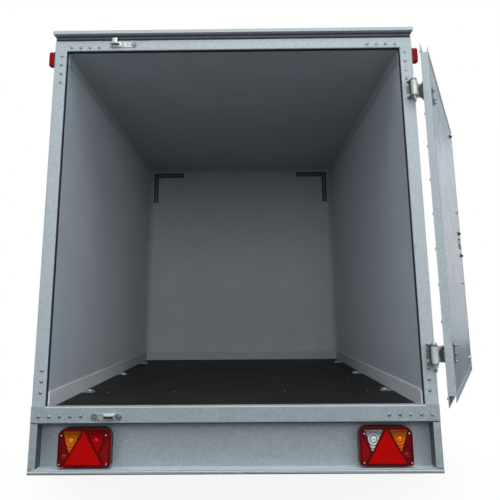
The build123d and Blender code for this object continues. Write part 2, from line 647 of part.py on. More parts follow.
def handbrake_lever():
    """The handbrake lever beside the overrun housing, pulled on."""
    foot = (58, -450, SHAFT_Z + 10)
    top = (58, -590, SHAFT_Z + 340)
    grip_start = (58, -565, SHAFT_Z + 281)
    lever = rod(9, foot, top)
    grip = rod(15, grip_start, top)
    pivot = drum(22, 40, 70, foot[1], foot[2])
    return lever + grip + pivot - overrun_housing()


def jockey_clamp():
    """The clamp that holds the jockey tube to the overrun housing."""
    z = (CROSS_BOTTOM_Z + 8, CROSS_BOTTOM_Z + 58)
    ring = Pos(JOCKEY_X, JOCKEY_Y, z[0]) * Cylinder(
        JOCKEY_TUBE_RADIUS + 9, z[1] - z[0], align=(Align.CENTER, Align.CENTER, Align.MIN)
    )
    lug = block((JOCKEY_X + 10, -38), (JOCKEY_Y - 16, JOCKEY_Y + 16), z)
    lever = rod(6, (JOCKEY_X, JOCKEY_Y - 30, z[1] - 20), (JOCKEY_X - 60, JOCKEY_Y - 60, z[1] - 10))
    bore = rod(JOCKEY_TUBE_RADIUS, (JOCKEY_X, JOCKEY_Y, z[0] - 1), (JOCKEY_X, JOCKEY_Y, z[1] + 1))
    return ring + lug + lever - bore - overrun_housing()


def jockey_tube():
    """The jockey leg's outer tube with its crank."""
    low, high = -140, 330
    tube = rod(JOCKEY_TUBE_RADIUS, (JOCKEY_X, JOCKEY_Y, low), (JOCKEY_X, JOCKEY_Y, high))
    tube -= rod(JOCKEY_TUBE_RADIUS - JOCKEY_TUBE_WALL, (JOCKEY_X, JOCKEY_Y, low), (JOCKEY_X, JOCKEY_Y, high - 20))
    cap = rod(JOCKEY_TUBE_RADIUS + 4, (JOCKEY_X, JOCKEY_Y, high), (JOCKEY_X, JOCKEY_Y, high + 14))
    stem = rod(8, (JOCKEY_X, JOCKEY_Y, high), (JOCKEY_X, JOCKEY_Y, high + 34))
    crank = rod(7, (JOCKEY_X, JOCKEY_Y, high + 28), (JOCKEY_X, JOCKEY_Y - 120, high + 28))
    knob = rod(14, (JOCKEY_X, JOCKEY_Y - 120, high + 20), (JOCKEY_X, JOCKEY_Y - 120, high + 90))
    return tube + cap + stem + crank + knob


def jockey_fork():
    """The jockey leg's inner tube and trailing fork, with the wheel pin."""
    axle_y, axle_z = JOCKEY_Y - JOCKEY_TRAIL, GROUND_Z + JOCKEY_WHEEL_RADIUS
    crown_z = GROUND_Z + 2 * JOCKEY_WHEEL_RADIUS + 17
    inner = JOCKEY_WHEEL_WIDTH / 2 + 6
    stem = rod(
        JOCKEY_TUBE_RADIUS - JOCKEY_TUBE_WALL - 0.3, (JOCKEY_X, JOCKEY_Y, crown_z), (JOCKEY_X, JOCKEY_Y, -60)
    )
    crown = block(
        (JOCKEY_X - inner - 4, JOCKEY_X + inner + 4), (axle_y - 20, JOCKEY_Y + 28), (crown_z, crown_z + 8)
    )
    fork = stem + crown
    for side in (1, -1):
        cheek = Plane.YZ * make_face(
            Polyline(
                (axle_y - 20, crown_z + 8), (JOCKEY_Y + 28, crown_z + 8), (axle_y + 16, axle_z - 16),
                (axle_y - 16, axle_z - 16), close=True,
            ).edges()
        )
        x = JOCKEY_X + (inner if side > 0 else -inner - 4)
        fork += Pos(x, 0, 0) * extrude(cheek, 4)
    return fork + drum(JOCKEY_PIN_RADIUS, JOCKEY_X - inner - 8, JOCKEY_X + inner + 8, axle_y, axle_z)


def jockey_wheel():
    """The jockey wheel, tyre and rim in one."""
    half, r = JOCKEY_WHEEL_WIDTH / 2, JOCKEY_WHEEL_RADIUS
    bore = JOCKEY_PIN_RADIUS + RUNNING_GAP
    points = [
        (-half - 4, bore), (-half - 4, 18), (-14, 22), (-14, 58), (-22, 64), (-half, 70), (-half, r - 14),
        (-half + 10, r), (half - 10, r), (half, r - 14), (half, 70), (22, 64), (14, 58), (14, 22), (half + 4, 18),
        (half + 4, bore),
    ]
    return revolved(points, JOCKEY_X, JOCKEY_Y - JOCKEY_TRAIL, GROUND_Z + r)


# ---------------------------------------------------------------- lamps and fittings
def lens_outline(width, height):
    """A lamp outline with large upper corners."""
    body = Rectangle(width, height)
    upper = body.vertices().group_by(Axis.Y)[-1]
    body = fillet(upper, height / 4)
    return fillet(body.vertices().group_by(Axis.Y)[0], 10)


def tail_lamp(side, depth_range):
    """A slice of a tail lamp between two depths ahead of the rear face."""
    near, far = depth_range
    face = Plane(
        origin=(side * LAMP_X, REAR_Y + near, SILL_Z - LAMP_BELOW_SILL), x_dir=(1, 0, 0), z_dir=(0, -1, 0)
    ) * lens_outline(LAMP_WIDTH, LAMP_HEIGHT)
    return extrude(face, near - far)


def marker_lamps():
    """Red lamps on the outer sides of the rear posts."""
    top = HEADER_Z + 2
    body = block((FRAME_X, FRAME_X + MARKER_STAND), (REAR_Y + 4, REAR_Y + 40), (top - MARKER_HEIGHT, top))
    body = fillet(body.edges().filter_by(Axis.Y).group_by(Axis.X)[-1], 8)
    return pieces(right_and_left(body))


def front_lamps():
    """White position lamps low on the front corners."""
    z = SILL_BOTTOM_Z - 50
    body = block((FRAME_X - 90, FRAME_X - 20), (FRONT_OUT_Y, FRONT_OUT_Y + 22), (z - 20, z + 20))
    return pieces(right_and_left(fillet(body.edges().filter_by(Axis.Y), 8)))


def keeper(centre_x, centre_z, up):
    """A lock keeper: a rounded plate with a raised bridge towards the door's edge."""
    face = Plane(origin=(centre_x, REAR_Y - (0 if up > 0 else SHEET), centre_z), x_dir=(1, 0, 0), z_dir=(0, -1, 0))
    plate = extrude(face * SlotOverall(KEEPER_LENGTH, KEEPER_HEIGHT), 3)
    bridge = face.offset(3) * Pos(-34, up * 6) * Rectangle(28, 28)
    slot = face.offset(3) * Pos(-34, up * 6) * Rectangle(18, 14)
    return plate + extrude(bridge, 10) - extrude(slot, 6)


def door_keepers():
    """The keepers on the header and on the sill."""
    x = LOCK_X + 34
    return pieces([keeper(x, FRAME_TOP_Z - 22, 1), keeper(x - 8, SILL_Z - 36, -1)])


def hinge_heights():
    """The middle heights of the two door hinges."""
    return [SILL_Z + LOWER_HINGE, HEADER_Z - UPPER_HINGE]


def frame_hinges():
    """The hinge brackets on the right post, each with two ears and the pin."""
    brackets = []
    plate_x, plate_y = (HINGE_X - HINGE_PLATE_IN, FRAME_X), REAR_Y - HINGE_PLATE
    ear = make_face(
        Polyline(
            (plate_x[0], plate_y),
            (HINGE_X - HINGE_BARREL, HINGE_Y),
            (HINGE_X + HINGE_BARREL, HINGE_Y),
            (plate_x[1], plate_y),
            close=True,
        ).edges()
    )
    for z in hinge_heights():
        low, high = z - HINGE_HEIGHT / 2, z + HINGE_HEIGHT / 2
        bracket = block(plate_x, (plate_y, REAR_Y), (low, high))
        for ear_z in (low, high - HINGE_EAR):
            bracket += Pos(0, 0, ear_z) * extrude(ear, HINGE_EAR)
            bracket += rod(HINGE_BARREL, (HINGE_X, HINGE_Y, ear_z), (HINGE_X, HINGE_Y, ear_z + HINGE_EAR))
        bracket += rod(HINGE_PIN, (HINGE_X, HINGE_Y, low - PIN_STUB), (HINGE_X, HINGE_Y, high + HINGE_PIN))
        brackets.append(bracket)
    return pieces(brackets)


# ---------------------------------------------------------------- door, drawn closed and then swung open
def swung(shape):
    """Turns a piece of the closed door about the hinge to where the door stands open."""
    axis = Axis((HINGE_X, HINGE_Y, 0), (0, 0, 1))
    return shape.rotate(axis, DOOR_OPEN_ANGLE)


DOOR_X = (DOOR_GAP - HALF_HOLD, HALF_HOLD - DOOR_GAP)
DOOR_Z = (SILL_Z + DOOR_GAP, HEADER_Z - DOOR_GAP)
SKIN_Y = (REAR_Y - DOOR_TO_FRAME - DOOR_SKIN, REAR_Y - DOOR_TO_FRAME)
INNER_Y = SKIN_Y[1] + DOOR_DEPTH


def door_skin():
    """The outer sheet, which overlaps the header, the sill and the left post."""
    x = (-HALF_HOLD - DOOR_SIDE_OVERLAP, DOOR_X[1])
    return block(x, SKIN_Y, (SILL_Z - DOOR_OVERLAP, HEADER_Z + DOOR_OVERLAP))


def door_frame():
    """The door's edge frame: closed stiles at the sides, rails that open outwards above and below."""
    t, recess = DOOR_SKIN, DOOR_RAIL_RECESS
    window = block(
        (DOOR_X[0] + DOOR_FLANGE, DOOR_X[1] - DOOR_FLANGE),
        (SKIN_Y[1], INNER_Y),
        (DOOR_Z[0] + DOOR_FLANGE, DOOR_Z[1] - DOOR_FLANGE),
    )
    inner_ring = block(DOOR_X, (INNER_Y - t, INNER_Y), DOOR_Z) - window
    outer_ring = block(DOOR_X, (SKIN_Y[1], SKIN_Y[1] + t), DOOR_Z) - window
    shell = block(DOOR_X, (SKIN_Y[1] + t, INNER_Y - t), (DOOR_Z[0] + recess, DOOR_Z[1] - recess))
    shell -= block(
        (DOOR_X[0] + t, DOOR_X[1] - t),
        (SKIN_Y[1], INNER_Y),
        (DOOR_Z[0] + recess + t, DOOR_Z[1] - recess - t),
    )
    return inner_ring + outer_ring + shell


def door_panel():
    """The door's core with its bright inner sheet."""
    t, recess = DOOR_SKIN, DOOR_RAIL_RECESS + DOOR_SKIN
    return block(
        (DOOR_X[0] + t, DOOR_X[1] - t), (SKIN_Y[1] + t, INNER_Y - t), (DOOR_Z[0] + recess, DOOR_Z[1] - recess)
    )


def door_hinges():
    """The door's cranked hinge straps, each rolled round its pin between the bracket's ears."""
    straps = []
    rolled, bend, skin = HINGE_Y + HINGE_BARREL, DOOR_X[1], SKIN_Y[0]
    step = bend - STRAP_CRANK
    plan = make_face(
        Polyline(
            (HINGE_X, rolled),
            (bend, rolled),
            (step, skin),
            (bend - STRAP_LENGTH, skin),
            (bend - STRAP_LENGTH, skin - HINGE_PLATE),
            (step - HINGE_PLATE / 2, skin - HINGE_PLATE),
            (bend - HINGE_PLATE / 2, rolled - HINGE_PLATE),
            (HINGE_X, rolled - HINGE_PLATE),
            close=True,
        ).edges()
    )
    pin_hole = HINGE_PIN + RUNNING_GAP
    for z in hinge_heights():
        low = z - HINGE_HEIGHT / 2 + HINGE_EAR + 1
        high = z + HINGE_HEIGHT / 2 - HINGE_EAR - 1
        strap = Pos(0, 0, low) * extrude(plan, high - low)
        strap += rod(HINGE_BARREL, (HINGE_X, HINGE_Y, low), (HINGE_X, HINGE_Y, high))
        strap -= rod(pin_hole, (HINGE_X, HINGE_Y, low - 1), (HINGE_X, HINGE_Y, high + 1))
        straps.append(strap)
    return pieces(straps)


def lock_gear():
    """The vertical lock rod with its cams, guides and handle, unlocked."""
    y = REAR_Y - LOCK_ROD_BEHIND
    z = (SILL_Z - 45, FRAME_TOP_Z - 5)
    gear = rod(LOCK_ROD_RADIUS, (LOCK_X, y, z[0]), (LOCK_X, y, z[1]))
    for low in (z[0], z[1] - 10):
        gear += block((LOCK_X - 7, LOCK_X + 7), (y - 32, y), (low, low + 10))
    for part in (0.06, 0.34, 0.62, 0.94):
        at = SILL_Z + part * OPENING_HEIGHT
        gear += block((LOCK_X - 30, LOCK_X + 30), (SKIN_Y[0] - 4, SKIN_Y[0]), (at - 15, at + 15))
        gear += block((LOCK_X - 14, LOCK_X + 14), (y - 12, SKIN_Y[0]), (at - 15, at + 15))
    handle_z = SILL_Z + 0.48 * OPENING_HEIGHT
    gear += block((LOCK_X, LOCK_X + 260), (y - 14, y - 8), (handle_z - 14, handle_z + 14))
    gear += rod(14, (LOCK_X, y, handle_z - 24), (LOCK_X, y, handle_z + 24))
    return gear


# ---------------------------------------------------------------- what the trailer is made of
def build():
    """Every node's shape by name."""
    wall, arm, guard = side_wall(), drawbar_arm(), mudguard()
    swing = right_and_left(swing_arm())
    nodes = {
        "chassis_rails": chassis_rails(),
        "crossmembers": crossmembers(),
        "drawbar_arms": pieces(right_and_left(arm)),
        "overrun_housing": overrun_housing(),
        "overrun_gaiter": overrun_gaiter(),
        "ball_coupling": ball_coupling(),
        "coupling_handle": coupling_handle(),
        "handbrake_lever": handbrake_lever(),
        "jockey_clamp": jockey_clamp(),
        "jockey_tube": jockey_tube(),
        "jockey_fork": jockey_fork(),
        "jockey_wheel": jockey_wheel(),
        "axle_beam": axle_beam(),
        "swing_arms": pieces(swing),
        "left_wheel": wheel_rim(-1),
        "right_wheel": wheel_rim(1),
        "left_tyre": tyre(-1),
        "right_tyre": tyre(1),
        "mudguards": pieces(right_and_left(guard)),
        "floor_panel": floor_panel(),
        "left_wall": mirror(wall, Plane.YZ),
        "right_wall": wall,
        "front_wall": front_wall(),
        "roof_panel": roof_panel(),
        "roof_riser": roof_riser(),
        "roof_cap": roof_cap(),
        "edge_rails": pieces([top_rails(), front_corner_posts()]),
        "rear_frame": pieces([rear_posts(), rear_header()]),
        "rear_sill": rear_sill(),
        "lamp_panel": lamp_panel(),
        "interior_trims": interior_trims(),
        "ceiling_brackets": ceiling_brackets(),
        "lashing_eyes": lashing_eyes(),
        "opening_seal": opening_seal(),
        "frame_hinges": frame_hinges(),
        "door_keepers": door_keepers(),
        "tail_lamp_housings": pieces([tail_lamp(side, (LAMP_BACK, SKIRT_RECESS)) for side in (-1, 1)]),
        "tail_lamp_lenses": pieces([tail_lamp(side, (LAMP_INSET, LAMP_BACK)) for side in (-1, 1)]),
        "marker_lamps": marker_lamps(),
        "front_lamps": front_lamps(),
        "door_skin": swung(door_skin()),
        "door_frame": swung(door_frame()),
        "door_panel": swung(door_panel()),
        "door_hinges": swung(door_hinges()),
        "lock_gear": swung(lock_gear()),
    }
    return nodes


os.makedirs("parts", exist_ok=True)
for name, shape in build().items():
    export_step(shape, f"parts/{name}.step")
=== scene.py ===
"""Looks of an enclosed cargo trailer: finishes, small parts, tyres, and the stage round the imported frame."""

import json
import logging
import math
from dataclasses import dataclass
from enum import Enum
from typing import Callable, Sequence

import bpy
import numpy as np
from mathutils import Matrix, Vector

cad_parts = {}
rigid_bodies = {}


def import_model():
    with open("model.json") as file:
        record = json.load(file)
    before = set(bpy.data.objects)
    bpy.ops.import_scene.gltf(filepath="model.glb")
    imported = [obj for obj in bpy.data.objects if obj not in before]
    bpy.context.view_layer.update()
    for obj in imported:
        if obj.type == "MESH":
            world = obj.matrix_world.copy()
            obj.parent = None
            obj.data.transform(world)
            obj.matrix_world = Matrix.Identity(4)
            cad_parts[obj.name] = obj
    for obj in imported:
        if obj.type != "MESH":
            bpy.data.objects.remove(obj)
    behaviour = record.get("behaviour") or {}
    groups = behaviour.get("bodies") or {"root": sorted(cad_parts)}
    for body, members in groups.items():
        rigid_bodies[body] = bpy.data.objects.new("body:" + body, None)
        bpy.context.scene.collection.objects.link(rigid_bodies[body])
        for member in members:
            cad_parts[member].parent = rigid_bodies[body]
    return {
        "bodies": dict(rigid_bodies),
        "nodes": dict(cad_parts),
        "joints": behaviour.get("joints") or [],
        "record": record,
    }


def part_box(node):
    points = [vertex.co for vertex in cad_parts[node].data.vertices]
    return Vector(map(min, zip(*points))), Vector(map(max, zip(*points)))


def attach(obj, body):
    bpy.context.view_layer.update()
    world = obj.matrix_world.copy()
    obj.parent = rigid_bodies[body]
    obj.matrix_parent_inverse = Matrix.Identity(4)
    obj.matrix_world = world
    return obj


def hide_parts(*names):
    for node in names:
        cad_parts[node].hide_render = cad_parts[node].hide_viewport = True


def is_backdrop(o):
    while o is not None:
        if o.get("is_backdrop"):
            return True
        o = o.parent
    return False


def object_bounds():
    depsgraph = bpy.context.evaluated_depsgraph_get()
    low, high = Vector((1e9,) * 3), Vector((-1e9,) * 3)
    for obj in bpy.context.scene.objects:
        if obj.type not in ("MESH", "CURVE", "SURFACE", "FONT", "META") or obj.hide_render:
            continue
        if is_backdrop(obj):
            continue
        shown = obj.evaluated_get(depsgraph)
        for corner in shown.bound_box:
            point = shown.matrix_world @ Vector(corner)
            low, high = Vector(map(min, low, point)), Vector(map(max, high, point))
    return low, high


LOG = logging.getLogger("cargo_trailer")
Array = np.ndarray
Socket = bpy.types.NodeSocket
Pair = tuple[float, float]
Triple = tuple[float, float, float]
Radius = float | Sequence[float]
MM = 0.001
TURN = 2 * math.pi
FLIPPED = [1, 0, 3, 2]  # corner order of a quad facing the other way; a triangle's repeated corner stays last
UPRIGHT = Matrix.Rotation(math.pi / 2, 4, "X")  # a face drawn in x and y then stands up and faces backwards
SIDEWAYS = Matrix(((0, 0, 1, 0), (1, 0, 0, 0), (0, 1, 0, 0), (0, 0, 0, 1)))  # x, y become y, z
UPSIDE_DOWN = Matrix.Rotation(math.pi, 4, "X")


def mm(*values: float) -> tuple[float, ...]:
    """Millimetres as metres."""
    return tuple(value * MM for value in values)


def facing(x: float, y: float, z: float) -> Matrix:
    """The turn that carries +Z to a direction."""
    return Vector((x, y, z)).to_track_quat("Z", "Y").to_matrix().to_4x4()


# ---------------------------------------------------------------- shapes worked out as arrays
def lattice(rows: int, columns: int, wrap_rows: bool = False, wrap_columns: bool = False) -> Array:
    """Quads of a grid, as point numbers.

    Args:
        rows: rows of points.
        columns: columns of points.
        wrap_rows: joins the last row to the first.
        wrap_columns: joins the last column to the first.

    Returns:
        Four point numbers for each quad.
    """
    i = np.arange(rows if wrap_rows else rows - 1)[:, None]
    j = np.arange(columns if wrap_columns else columns - 1)[None, :]
    i_next, j_next = (i + 1) % rows, (j + 1) % columns
    corners = (i * columns + j, i * columns + j_next, i_next * columns + j_next, i_next * columns + j)
    return np.stack([np.broadcast_to(c, (i.size, j.size)) for c in corners], axis=-1).reshape(-1, 4)


def closing_fans(size: int, ring: int) -> list[Array]:
    """Fans that close the first and last ring of so many points onto the two points that follow them all.

    Each triangle is written as a quad with a repeated corner.

    Args:
        size: how many points the rings have.
        ring: points of one ring.

    Returns:
        The first ring's faces and the last ring's.
    """
    fans = []
    for loop, centre in ((np.arange(ring)[::-1], size), (np.arange(ring) + size - ring, size + 1)):
        middle = np.full_like(loop, centre)
        fans.append(np.stack([loop, np.roll(loop, -1), middle, middle], axis=-1))
    return fans


def unit(vectors: Array) -> Array:
    """Each vector over its length."""
    return vectors / np.linalg.norm(vectors, axis=-1, keepdims=True)


@dataclass
class Shape:
    """Points and quads of one mesh; a quad whose last two corners agree is a triangle."""

    points: Array  # x, y, z of each point, in metres
    quads: Array  # four point numbers for each face
    slots: Array | None = None  # material number of each face

    def paint(self, slot: int) -> "Shape":
        """The same shape with every face in one material slot."""
        return Shape(self.points, self.quads, np.full(len(self.quads), slot))

    def moved(self, x: float = 0, y: float = 0, z: float = 0) -> "Shape":
        """The shape shifted."""
        return Shape(self.points + np.array([x, y, z]), self.quads, self.slots)

    def turned_by(self, matrix: Matrix) -> "Shape":
        """The shape under a 4 x 4 matrix; one that mirrors also flips the faces.

        Args:
            matrix: the 4 x 4 matrix.

        Returns:
            The new shape.
        """
        m = np.array(matrix)
        quads = self.quads[:, FLIPPED] if np.linalg.det(m[:3, :3]) < 0 else self.quads
        return Shape(self.points @ m[:3, :3].T + m[:3, 3], quads, self.slots)

    def mirrored(self) -> "Shape":
        """The shape mirrored from the right side to the left."""
        return self.turned_by(Matrix.Diagonal((-1, 1, 1, 1)))

    def both_sides(self) -> "Shape":
        """The shape and its mirror image."""
        return join([self, self.mirrored()])

    def repeated(self, places: Array) -> "Shape":
        """A copy at each place, all copies worked out as one array.

        Args:
            places: one (x, y, z) row for each copy.

        Returns:
            All copies as one shape.
        """
        places = np.atleast_2d(np.asarray(places, float))
        count, size = len(places), len(self.points)
        points = (places[:, None, :] + self.points[None]).reshape(-1, 3)
        quads = (np.arange(count)[:, None, None] * size + self.quads[None]).reshape(-1, 4)
        return Shape(points, quads, None if self.slots is None else np.tile(self.slots, count))

    def outward(self) -> "Shape":
        """The shape with its faces outwards: flipped where the sum of the corner tetrahedra is negative.

        Returns:
            The shape itself or its flipped copy.
        """
        a, b, c, d = (self.points[self.quads[:, k]] for k in range(4))
        volume = (a * (np.cross(b, c) + np.cross(c, d))).sum()
        return self if volume > 0 else Shape(self.points, self.quads[:, FLIPPED], self.slots)

    def build(self, name: str, *materials: bpy.types.Material, smooth: float | None = 40) -> bpy.types.Object:
        """Puts the shape into a mesh object at the origin.

        Args:
            name: the piece's name.
            materials: its materials, in slot order.
            smooth: edges under this angle in degrees are shaded round; None leaves faces flat.

        Returns:
            The new object, linked to the scene.
        """
        mesh = bpy.data.meshes.new(name)
        triangle = self.quads[:, 2] == self.quads[:, 3]
        faces = [q[:3] if t else q for q, t in zip(self.quads.tolist(), triangle.tolist())]
        mesh.from_pydata(self.points, [], faces)
        for material in materials:
            mesh.materials.append(material)
        if self.slots is not None:
            mesh.polygons.foreach_set("material_index", self.slots.astype(np.int32))
        if smooth is not None:
            mesh.polygons.foreach_set("use_smooth", np.ones(len(mesh.polygons), bool))
            mesh.set_sharp_from_angle(angle=math.radians(smooth))
        mesh.validate()
        piece = bpy.data.objects.new(name, mesh)
        bpy.context.scene.collection.objects.link(piece)
        return piece


def join(shapes: Sequence[Shape]) -> Shape:
    """Several shapes as one, each keeping its material slots.

    Args:
        shapes: the shapes, in order.

    Returns:
        One shape with all their faces.
    """
    starts = np.cumsum([0] + [len(s.points) for s in shapes])
    slots = [np.zeros(len(s.quads), int) if s.slots is None else s.slots for s in shapes]
    quads = np.concatenate([s.quads + start for s, start in zip(shapes, starts)])
    return Shape(np.concatenate([s.points for s in shapes]), quads, np.concatenate(slots))


def lathe(profile: Sequence[Pair], segments: int = 24, closed: bool = False) -> Shape:
    """Turns a profile about Z: point (radius, height) goes to (r cos a, r sin a, h) for each angle a.

    Args:
        profile: (radius, height) points from the bottom pole outwards and up to the top pole.
        segments: steps round the axis.
        closed: joins the profile's end to its start, for a ring.

    Returns:
        The surface; an open profile is closed onto the axis at both ends.
    """
    rh = np.asarray(profile, float)
    angle = np.linspace(0, TURN, segments, endpoint=False)
    r, h = rh[:, :1], rh[:, 1:]
    grid = np.stack([r * np.cos(angle), r * np.sin(angle), np.broadcast_to(h, (len(rh), segments))], axis=-1)
    quads = lattice(len(rh), segments, closed, True)
    points = grid.reshape(-1, 3)
    if closed:
        return Shape(points, quads)
    poles = np.array([[0, 0, rh[0, 1]], [0, 0, rh[-1, 1]]])
    quads = np.concatenate([quads, *closing_fans(len(points), segments)])
    return Shape(np.concatenate([points, poles]), quads)


def stack(outline: Array, levels: Sequence[Pair], rings: int = 1, relief: Callable | None = None) -> Shape:
    """Rings of one outline, each drawn in square to itself and raised, closed at both ends.

    Args:
        outline: (x, y) points whose middle sees them all.
        levels: (inset, height) of each ring, from the foot up to the rim of the top.
        rings: steps of the top from its rim to its middle.
        relief: height that the top gains at (x, y).

    Returns:
        A closed solid.
    """
    flat = np.asarray(outline, float)
    following = np.roll(flat, -1, axis=0)
    if (flat[:, 0] * following[:, 1] - flat[:, 1] * following[:, 0]).sum() < 0:
        flat = flat[::-1]
    along = unit(np.roll(flat, -1, axis=0) - np.roll(flat, 1, axis=0))
    inward = np.c_[-along[:, 1], along[:, 0]]
    middle, count = flat.mean(axis=0), len(flat)
    loops = [np.c_[flat + inward * inset, np.full(count, height)] for inset, height in levels]
    rim, top = loops[-1][:, :2], levels[-1][1]
    for share in np.linspace(1, 0, rings + 1)[1:-1]:
        loops.append(np.c_[middle + (rim - middle) * share, np.full(count, top)])
    points = np.concatenate([*loops, [[*middle, levels[0][1]], [*middle, top]]])
    if relief:
        risen = np.r_[len(levels) * count : len(loops) * count, len(points) - 1]
        points[risen, 2] += relief(points[risen, 0], points[risen, 1])
    walls = lattice(len(loops), count, False, True)
    return Shape(points, np.concatenate([walls, *closing_fans(len(loops) * count, count)]))


def prism(outline: Array, low: float, high: float, edge: float = 0.0) -> Shape:
    """An outline raised between two heights, its top rim stepped in by edge as a small chamfer."""
    return stack(outline, [(0, low), (0, high - edge), (edge, high)] if edge else [(0, low), (0, high)])


def slab(low: Sequence[float], high: Sequence[float]) -> Shape:
    """A box between two corners."""
    (x0, y0, z0), (x1, y1, z1) = low, high
    return prism(np.array([[x0, y0], [x1, y0], [x1, y1], [x0, y1]]), z0, z1)


def softened(corners: Sequence[Pair], radius: Radius, steps: int = 5, along: int = 1) -> Array:
    """A polygon with its corners rounded off.

    A corner's arc blends its two end directions about the arc's centre, brought back to the radius; the
    centre is on the bisector, at the radius over the sine of half the corner's angle.

    Args:
        corners: the polygon's (x, y) points.
        radius: one radius, or one for each corner.
        steps: points of each arc.
        along: pieces that each straight run is cut into.

    Returns:
        The outline's points.
    """
    corner = np.asarray(corners, float)
    radii = np.broadcast_to(np.asarray(radius, float), len(corner))[:, None]
    back, ahead = (unit(np.roll(corner, step, axis=0) - corner) for step in (1, -1))
    half = np.arccos(np.clip((back * ahead).sum(axis=1, keepdims=True), -1, 1)) / 2
    centre = corner + unit(back + ahead) * radii / np.sin(half)
    start, end = (corner + side * radii / np.tan(half) - centre for side in (back, ahead))
    t = np.linspace(0, 1, steps)[None, :, None]
    arc = unit((1 - t) * start[:, None] + t * end[:, None])
    points = centre[:, None] + arc * radii[:, None]
    s = np.linspace(0, 1, along + 1)[1:-1][None, :, None]
    runs = (1 - s) * points[:, -1:] + s * np.roll(points[:, :1], -1, axis=0)
    return np.concatenate([points, runs], axis=1).reshape(-1, 2)


def rounded(width: float, height: float, radius: Radius, steps: int = 5) -> Array:
    """A rectangle about the origin with rounded corners, from the upper right one anticlockwise."""
    x, y = width / 2, height / 2
    return softened([(x, y), (-x, y), (-x, -y), (x, -y)], radius, steps)


def tube(path: Array, radius: float, segments: int = 10) -> Shape:
    """Carries a circle along a path: each ring stands square to the path's direction there.

    Args:
        path: (x, y, z) points of the middle line.
        radius: the circle's radius.
        segments: steps round it.

    Returns:
        The tube, closed at both ends.
    """
    path = np.asarray(path, float)
    along = unit(np.gradient(path, axis=0))
    spare = (0.31, 0.17, 0.93) if abs(along[0, 2]) < 0.9 else (1.0, 0.1, 0.0)
    side = unit(np.cross(along, np.array(spare)))
    up = np.cross(side, along)
    angle = np.linspace(0, TURN, segments, endpoint=False)[None, :, None]
    rings = path[:, None] + radius * (np.cos(angle) * up[:, None] + np.sin(angle) * side[:, None])
    points = np.concatenate([rings.reshape(-1, 3), path[:1], path[-1:]])
    walls = lattice(len(path), segments, False, True)
    return Shape(points, np.concatenate([walls, *closing_fans(len(path) * segments, segments)]))


def dome(radius: float, rise: float, foot: float = 0.0, end: float = 1.4, steps: int = 6) -> list[Pair]:
    """Profile of a low dome: an ellipse's arc from its rim on a foot up to an angle short of the pole."""
    return [(radius * math.cos(a), foot + rise * math.sin(a)) for a in np.linspace(0, end, steps)]


def ribs(depth: float, width: float, crossed: bool = False) -> Callable:
    """Relief of upright ribs, or of ribs both ways: the absolute sine of x, or its product with that of y."""
    turn = math.pi / width
    return lambda x, y: depth * np.abs(np.sin(x * turn) * (np.sin(y * turn) if crossed else 1))


def grid_of(*axes: Sequence[float]) -> Array:
    """Every combination of values along three axes, one row each."""
    return np.stack(np.meshgrid(*axes, indexing="ij"), axis=-1).reshape(-1, 3)


# ---------------------------------------------------------------- fasteners
def dome_rivet(radius: float = 7.4, height: float = 4.6) -> Shape:
    """A pressed rivet head, in mm: its height falls off as a quarter ellipse over a thin flange.

    Args:
        radius: radius of the flange.
        height: height of the head.

    Returns:
        The head about Z.
    """
    flange, rise, steps = 0.14, 0.86, np.linspace(1, 0, 6)[:-1]
    head = [(0.95 * radius * p, height * (flange + rise * math.sqrt(1 - p * p))) for p in steps]
    return lathe(np.array([(radius, -0.5), (radius, height * 0.12), *head]) * MM, 16)


def hex_bolt(across: float = 13, height: float = 5.5, stub: float = 0) -> Shape:
    """A chamfered hexagon on a round washer, in mm.

    Args:
        across: width across the flats.
        height: top of the hexagon.
        stub: how far a thread stands out of a nut.

    Returns:
        The bolt head or nut about Z.
    """
    angle = np.arange(6) * TURN / 6
    corner = across * MM / math.sqrt(3)
    head = prism(corner * np.c_[np.cos(angle), np.sin(angle)], 1.2 * MM, height * MM, 1.1 * MM)
    parts = [lathe([mm(across * 0.92, -0.5), mm(across * 0.92, 1.4)], 20), head]
    if stub:
        parts.append(lathe([mm(across * 0.3, 0), mm(across * 0.3, height + stub)], 14))
    return join(parts)


def pan_screw(radius: float = 4) -> Shape:
    """A low pan head with two dark bars sunk across it, painted shade of its cross recess.

    Args:
        radius: the head's radius, in mm.

    Returns:
        The head about Z, its bars in slot 1.
    """
    r = radius * MM
    head = lathe([(r, -0.4 * MM), (r, 0.35 * r), (0.8 * r, 0.55 * r), (0.35 * r, 0.62 * r)], 14).paint(0)
    long, thin = 0.5 * r, 0.09 * r
    # the cross recess is drawn as two dark bars: painted shade
    bars = [slab((-x, -y, 0.5 * r), (x, y, 0.645 * r)).paint(1) for x, y in ((long, thin), (thin, long))]
    return join([head, *bars])


